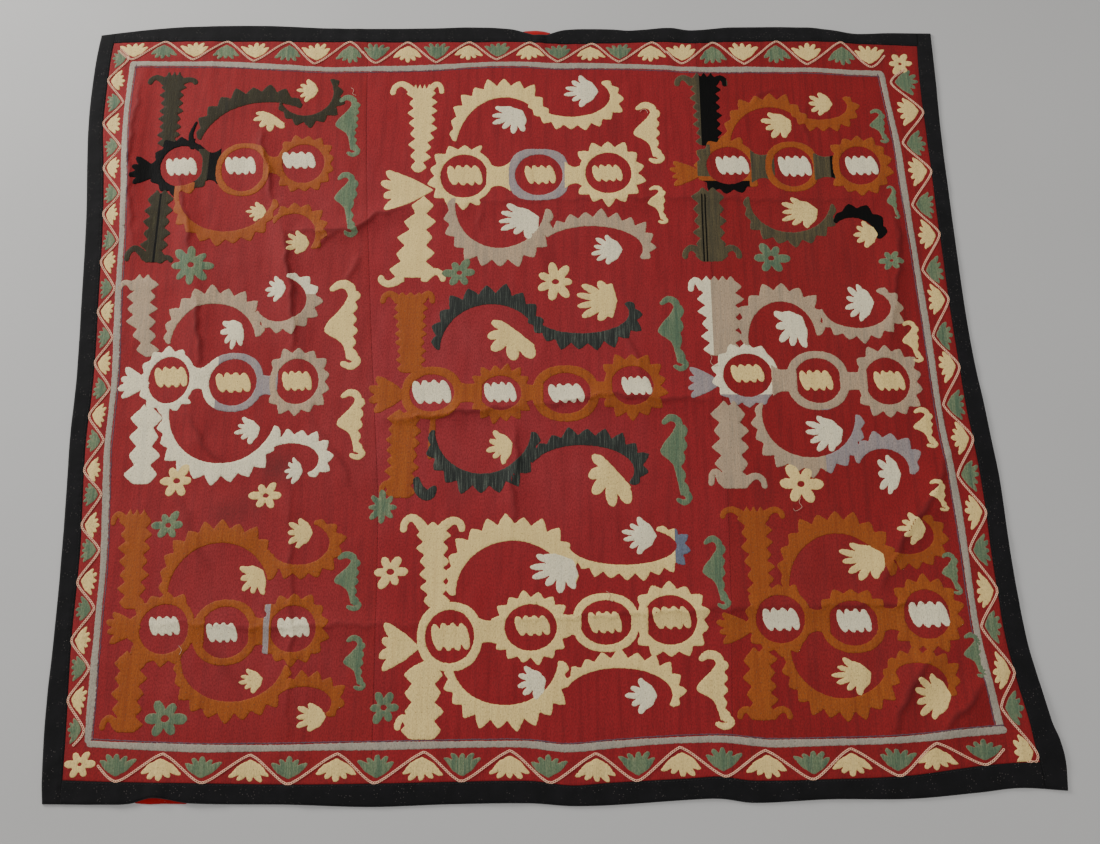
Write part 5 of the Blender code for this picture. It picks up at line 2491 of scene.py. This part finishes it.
def chain_tree() -> StitchTree:
    """Chain stitch: a row of small loops along each curve.

    Returns:
        The finished node tree.
    """
    kinds = (("Pitch", "NodeSocketFloat"), ("Width", "NodeSocketFloat"), ("Thread", "NodeSocketFloat"))
    work = StitchTree("chain_stitch", (*kinds, ("Material", "NodeSocketMaterial")))
    steps = {"Curve": work.given["Geometry"], "Length": work.given["Pitch"]}
    spaced = work.node("GeometryNodeResampleCurve", steps, mode="LENGTH")
    loop = work.node("GeometryNodeCurvePrimitiveCircle", {"Resolution": 8, "Radius": 1.0})
    long = work.node("ShaderNodeMath", {0: work.given["Pitch"], 1: 0.62}, operation="MULTIPLY")
    wide = work.node("ShaderNodeMath", {0: work.given["Width"], 1: 0.36}, operation="MULTIPLY")
    size = work.node("ShaderNodeCombineXYZ", {"X": long.outputs[0], "Y": wide.outputs[0], "Z": 1.0})
    shaped = work.node("GeometryNodeTransform", {"Geometry": loop.outputs[0], "Scale": size.outputs[0]})
    round_thread = work.node(
        "GeometryNodeCurvePrimitiveCircle", {"Resolution": 4, "Radius": work.given["Thread"]}
    )
    link = work.node(
        "GeometryNodeCurveToMesh", {"Curve": shaped.outputs[0], "Profile Curve": round_thread.outputs[0]}
    )
    way = work.node("GeometryNodeInputTangent")
    turned = work.node("FunctionNodeAlignRotationToVector", {"Vector": way.outputs[0]}, axis="X")
    placed = work.node(
        "GeometryNodeInstanceOnPoints",
        {"Points": spaced.outputs[0], "Instance": link.outputs[0], "Rotation": turned.outputs[0]},
    )
    work.close(placed.outputs[0])
    return work


def running_tree() -> StitchTree:
    """Running stitch: short rods along each curve, slightly turned at random.

    Returns:
        The finished node tree.
    """
    kinds = (("Pitch", "NodeSocketFloat"), ("Length", "NodeSocketFloat"), ("Thread", "NodeSocketFloat"))
    sockets = (*kinds, ("Seed", "NodeSocketInt"), ("Material", "NodeSocketMaterial"))
    work = StitchTree("running_stitch", sockets)
    steps = {"Curve": work.given["Geometry"], "Length": work.given["Pitch"]}
    spaced = work.node("GeometryNodeResampleCurve", steps, mode="LENGTH")
    rod = work.node(
        "GeometryNodeMeshCylinder",
        {"Vertices": 5, "Radius": work.given["Thread"], "Depth": work.given["Length"]},
        fill_type="TRIANGLE_FAN",
    )
    lying = work.node(
        "GeometryNodeTransform", {"Geometry": rod.outputs[0], "Rotation": (0.0, math.pi / 2, 0.0)}
    )
    way = work.node("GeometryNodeInputTangent")
    turned = work.node("FunctionNodeAlignRotationToVector", {"Vector": way.outputs[0]}, axis="X")
    tilt = work.node("FunctionNodeRandomValue", {"Seed": work.given["Seed"]}, data_type="FLOAT")
    tilt.inputs[2].default_value = -0.3
    tilt.inputs[3].default_value = 0.3
    about = work.node("ShaderNodeCombineXYZ", {"Z": tilt.outputs[1]})
    spun = work.node("FunctionNodeEulerToRotation", {0: about.outputs[0]})
    both = work.node(
        "FunctionNodeRotateRotation", {0: turned.outputs[0], 1: spun.outputs[0]}, rotation_space="LOCAL"
    )
    placed = work.node(
        "GeometryNodeInstanceOnPoints",
        {"Points": spaced.outputs[0], "Instance": lying.outputs[0], "Rotation": both.outputs[0]},
    )
    work.close(placed.outputs[0])
    return work


def tie_tree() -> StitchTree:
    """Tie stitches: small slanting rods scattered evenly over a surface.

    Returns:
        The finished node tree.
    """
    kinds = (("Spacing", "NodeSocketFloat"), ("Length", "NodeSocketFloat"), ("Thread", "NodeSocketFloat"))
    work = StitchTree("tie_stitches", (*kinds, ("Seed", "NodeSocketInt"), ("Material", "NodeSocketMaterial")))
    spread = work.node(
        "GeometryNodeDistributePointsOnFaces",
        {"Mesh": work.given["Geometry"], "Distance Min": work.given["Spacing"], "Seed": work.given["Seed"]},
        distribute_method="POISSON",
    )
    spread.inputs["Density Max"].default_value = 60000.0
    rod = work.node(
        "GeometryNodeMeshCylinder",
        {"Vertices": 4, "Radius": work.given["Thread"], "Depth": work.given["Length"]},
        fill_type="TRIANGLE_FAN",
    )
    lying = work.node(
        "GeometryNodeTransform", {"Geometry": rod.outputs[0], "Rotation": (0.0, math.pi / 2, 0.0)}
    )
    slant = work.node("FunctionNodeRandomValue", {"Seed": work.given["Seed"]}, data_type="FLOAT")
    slant.inputs[2].default_value = -0.1
    slant.inputs[3].default_value = 0.7
    about = work.node("ShaderNodeCombineXYZ", {"Z": slant.outputs[1]})
    spun = work.node("FunctionNodeEulerToRotation", {0: about.outputs[0]})
    placed = work.node(
        "GeometryNodeInstanceOnPoints",
        {"Points": spread.outputs[0], "Instance": lying.outputs[0], "Rotation": spun.outputs[0]},
    )
    work.close(placed.outputs[0])
    return work


def loose_tree() -> StitchTree:
    """Loose ends: a thin round thread along each curve.

    Returns:
        The finished node tree.
    """
    work = StitchTree("loose_ends", (("Thread", "NodeSocketFloat"), ("Material", "NodeSocketMaterial")))
    round_thread = work.node(
        "GeometryNodeCurvePrimitiveCircle", {"Resolution": 5, "Radius": work.given["Thread"]}
    )
    tube = work.node(
        "GeometryNodeCurveToMesh",
        {"Curve": work.given["Geometry"], "Profile Curve": round_thread.outputs[0], "Fill Caps": True},
    )
    work.close(tube.outputs[0])
    return work


def lay_curves(name: str, paths: Sequence[np.ndarray], height: Callable) -> bpy.types.Object:
    """Curves over the cloth.

    Args:
        name: the object's name.
        paths: plan paths in millimetres.
        height: gives the height in millimetres at places x and y.

    Returns:
        The curve object.
    """
    curve = bpy.data.curves.new(name, "CURVE")
    curve.dimensions = "3D"
    for path in paths:
        z = height(path[:, 0], path[:, 1])
        spline = curve.splines.new("POLY")
        spline.points.add(len(path) - 1)
        rows = np.column_stack([path[:, :2] * MM, z * MM, np.ones(len(path))])
        spline.points.foreach_set("co", rows.ravel().astype(np.float32))
    made = bpy.data.objects.new(name, curve)
    bpy.context.scene.collection.objects.link(made)
    return made


LOOSE_THREADS = (
    ((340, -168), (338, -174), (341, -180), (333, -185), (330, -182)),
    ((150, 392), (154, 396), (159, 395), (161, 390)),
    ((-262, 432), (-258, 428), (-259, 422), (-254, 419)),
    ((92, -286), (97, -290), (95, -296), (100, -299)),
    ((-430, -352), (-426, -357), (-428, -363)),
    ((232, 28), (236, 22), (234, 15), (238, 10), (243, 11)),
)


@dataclass
class Stitches:
    """The vine's chain stitch, the tie stitches, the seams' and the strips' stitches and the loose ends."""

    lie: ClothLie
    ground: Ground
    vine_pitch: float = 3.0
    vine_width: float = 3.0
    vine_thread: float = 0.55
    tie_spacing: float = 6.6
    tie_length: float = 1.6
    tie_thread: float = 0.15

    def vine(self, material: bpy.types.Material) -> bpy.types.Object:
        """The wavy line of the border.

        Args:
            material: its finish.

        Returns:
            The vine's chain stitch.
        """
        paths = [self.ground.kept_within(path) for side in BORDER_SIDES for path in side.vine()]
        base = lay_curves("vine_path", paths, lambda x, y: self.lie.face(x, y) + 0.45)
        sizes = {
            "Pitch": self.vine_pitch * MM, "Width": self.vine_width * MM, "Thread": self.vine_thread * MM
        }
        return chain_tree().apply(base, "vine_chain_stitch", {**sizes, "Material": material})

    def ties(self, patches: Sequence[bpy.types.Object], material: bpy.types.Material) -> bpy.types.Object:
        """The small stitches that hold the laid threads; the black threads' own are black and don't show.

        Args:
            patches: the embroidered patches.
            material: the stitches' finish.

        Returns:
            The tie stitches.
        """
        points, faces, count = [], [], 0
        for patch in patches:
            mesh = patch.data
            dark = {i for i, finish in enumerate(mesh.materials) if finish.name in BLACK_FINISHES}
            places = np.empty(len(mesh.vertices) * 3)
            mesh.vertices.foreach_get("co", places)
            points.append(places.reshape(-1, 3) / MM)
            tops = [f for f in mesh.polygons if len(f.vertices) == 3 and f.material_index not in dark]
            faces.extend([tuple(v + count for v in f.vertices) for f in tops])
            count += len(mesh.vertices)
        base = make_piece("tie_base", np.vstack(points), faces, [])
        sizes = {
            "Spacing": self.tie_spacing * MM, "Length": self.tie_length * MM, "Thread": self.tie_thread * MM
        }
        return tie_tree().apply(base, "tie_stitches", {**sizes, "Seed": 7, "Material": material})

    def strip_stitches(self, material: bpy.types.Material) -> bpy.types.Object:
        """The stitches that hold the strips' inner edge.

        Args:
            material: their finish.

        Returns:
            The stitches of all four strips.
        """
        up = np.arange(-500.0, 501.0, 2.0)
        over = np.arange(-545.0, 550.0, 2.0)
        side = 2.2
        paths = [
            np.column_stack([EdgeCurve(LEFT_EDGE, "inner", -side)(up), up]),
            np.column_stack([EdgeCurve(RIGHT_EDGE, "inner", side)(up), up]),
            np.column_stack([over, EdgeCurve(BOTTOM_EDGE, "inner", -side)(over)]),
            np.column_stack([over, EdgeCurve(TOP_EDGE, "inner", side)(over)]),
        ]
        base = lay_curves("strip_seam", paths, lambda x, y: self.lie.underside(x, y) + self.lie.strip - 0.25)
        sizes = {"Pitch": 4.2 * MM, "Length": 2.4 * MM, "Thread": 0.3 * MM}
        return running_tree().apply(base, "strip_stitches", {**sizes, "Seed": 3, "Material": material})

    def seam_stitches(self, material: bpy.types.Material) -> bpy.types.Object:
        """The whip stitches of the two seams, which show as small ticks in the join.

        Args:
            material: their finish.

        Returns:
            The stitches of both seams.
        """
        up = np.arange(-500.0, 500.0, 2.0)
        paths = [np.column_stack([curve(up), up]) for curve in (self.lie.left_seam, self.lie.right_seam)]
        base = lay_curves("seam_path", paths, lambda x, y: self.lie.face(x, y) + 0.05)
        sizes = {"Pitch": 3.4 * MM, "Length": 2.0 * MM, "Thread": 0.24 * MM}
        return running_tree().apply(base, "seam_stitches", {**sizes, "Seed": 5, "Material": material})

    def loose_ends(self, material: bpy.types.Material) -> bpy.types.Object:
        """A few threads that have worked loose."""
        paths = [smooth_path(row, 1.0) for row in LOOSE_THREADS]
        base = lay_curves("loose_paths", paths, lambda x, y: self.lie.face(x, y) + 1.0)
        return loose_tree().apply(base, "loose_ends", {"Thread": 0.3 * MM, "Material": material})


@dataclass
class Studio:
    """The floor, the lights and the camera, which stands where the photographer stood."""

    floor_half: float = 3.0
    camera_place: tuple = (0.0225, -0.468, 1.33)
    camera_tilt: float = 16.8
    focal_share: float = 1070 / 1100

    def floor(self) -> bpy.types.Object:
        """The pale floor.

        Returns:
            The floor.
        """
        h = self.floor_half / MM
        corners = np.array([(-h, -h, 0), (h, -h, 0), (h, h, 0), (-h, h, 0)])
        floor = make_piece("floor", corners, [(0, 1, 2, 3)],
                           [FloorFinish().material()])
        return floor

    def light(self, name: str, place: tuple, size: float, power: float, tint: Colour) -> None:
        """Hangs a square light that faces the cloth's middle.

        Args:
            name: its name.
            place: its place in metres.
            size: its side in metres.
            power: its power in watts.
            tint: its colour.
        """
        data = bpy.data.lights.new(name, "AREA")
        data.shape = "SQUARE"
        data.size = size
        data.energy = power
        data.color = tint
        lamp = bpy.data.objects.new(name, data)
        lamp.location = place
        lamp.rotation_euler = (-Vector(place)).to_track_quat("-Z", "Y").to_euler()
        bpy.context.scene.collection.objects.link(lamp)

    def build(self) -> None:
        """Sets up the floor, the lights, the surroundings and the camera."""
        self.floor()
        self.light("window", (-2.1, 1.5, 1.15), 0.9, 66.0, (1.0, 0.985, 0.96))
        self.light("fill", (0.8, -0.3, 2.6), 2.4, 27.0, (1.0, 0.99, 0.98))
        world = bpy.data.worlds.new("soft_room")
        world.use_nodes = True
        world.node_tree.nodes["Background"].inputs["Color"].default_value = (0.94, 0.94, 0.94, 1.0)
        world.node_tree.nodes["Background"].inputs["Strength"].default_value = 0.3
        bpy.context.scene.world = world
        data = bpy.data.cameras.new("camera")
        data.sensor_width = 36.0
        data.lens = data.sensor_width * self.focal_share
        data.clip_end = 30.0
        camera = bpy.data.objects.new("camera", data)
        camera.location = self.camera_place
        camera.rotation_euler = (math.radians(self.camera_tilt), 0.0, 0.0)
        bpy.context.scene.collection.objects.link(camera)
        bpy.context.scene.camera = camera


RED_FINISHES = {
    "left": CouchedFinish(
        "red_left", srgb(151, 25, 28), srgb(133, 19, 23), srgb(168, 54, 52), 0.14, 0.45, 0.35, 1.3, 0.8, 0.04,
        srgb(158, 54, 58),
    ),
    "middle": CouchedFinish(
        "red_middle", srgb(154, 25, 31), srgb(136, 19, 25), srgb(170, 54, 55),
        0.14, 0.45, 0.35, 1.3, 0.8, 0.04,
        srgb(162, 58, 63),
    ),
    "right": CouchedFinish(
        "red_right", srgb(148, 20, 24), srgb(129, 15, 19), srgb(165, 48, 46), 0.14, 0.4, 0.35, 1.3, 0.8, 0.04,
        srgb(148, 46, 46),
    ),
}
STRIP_FINISH = StripFinish("black_cotton", srgb(19, 19, 20), srgb(30, 29, 31), srgb(110, 102, 98))
LINING_FINISH = StripFinish("red_lining", srgb(180, 24, 26), srgb(150, 20, 22), srgb(190, 110, 100))
VINE_FINISH = TwistFinish("vine_thread", srgb(250, 202, 168), srgb(234, 178, 148))
# The tie stitches are of the laid threads' own colours; this one darker brown is painted shade for the
# stitches' shadow
SHADED_TIE_FINISH = TwistFinish("tie_thread", srgb(128, 104, 72), srgb(96, 80, 58))
BLACK_TWIST = TwistFinish("black_twist", srgb(22, 22, 23), srgb(15, 15, 16))
RED_TWIST = TwistFinish("red_twist", srgb(138, 28, 32), srgb(116, 22, 26))
PALE_TWIST = TwistFinish("pale_twist", srgb(216, 174, 150), srgb(196, 160, 140))


def main() -> None:
    """Builds the textile, the floor, the lights and the camera."""
    logging.basicConfig(level=logging.INFO, format="%(message)s")
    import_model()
    lie = ClothLie()
    ground = Ground(lie)
    strips = EdgeStrips(lie)
    Lining(lie).build(LINING_FINISH.material())
    for side, finish in RED_FINISHES.items():
        ground.build(side, finish.material())
    black = STRIP_FINISH.material()
    for side in ("left", "right", "bottom", "top"):
        strips.build(side, black)

    finishes = {thread: finish.material() for thread, finish in THREAD_FINISHES.items()}
    groups = (
        *MEDALLIONS,
        *(side.embroidery() for side in BORDER_SIDES),
        Embroidery("grey_stripe", tuple(shape for side in BORDER_SIDES for shape in side.stripe_shapes())),
    )
    patches = [group.build(lie, ground, finishes) for group in groups]
    stitches = Stitches(lie, ground)
    extras = [
        stitches.ties(patches, SHADED_TIE_FINISH.material()),
        stitches.vine(VINE_FINISH.material()),
        stitches.strip_stitches(BLACK_TWIST.material()),
        stitches.seam_stitches(RED_TWIST.material()),
        stitches.loose_ends(PALE_TWIST.material()),
    ]
    for piece in (*patches, *extras):
        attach(piece, "root")
        LOG.info("%s: %d faces", piece.name, len(piece.data.polygons))

    Studio().build()


if __name__ == "__main__":
    main()
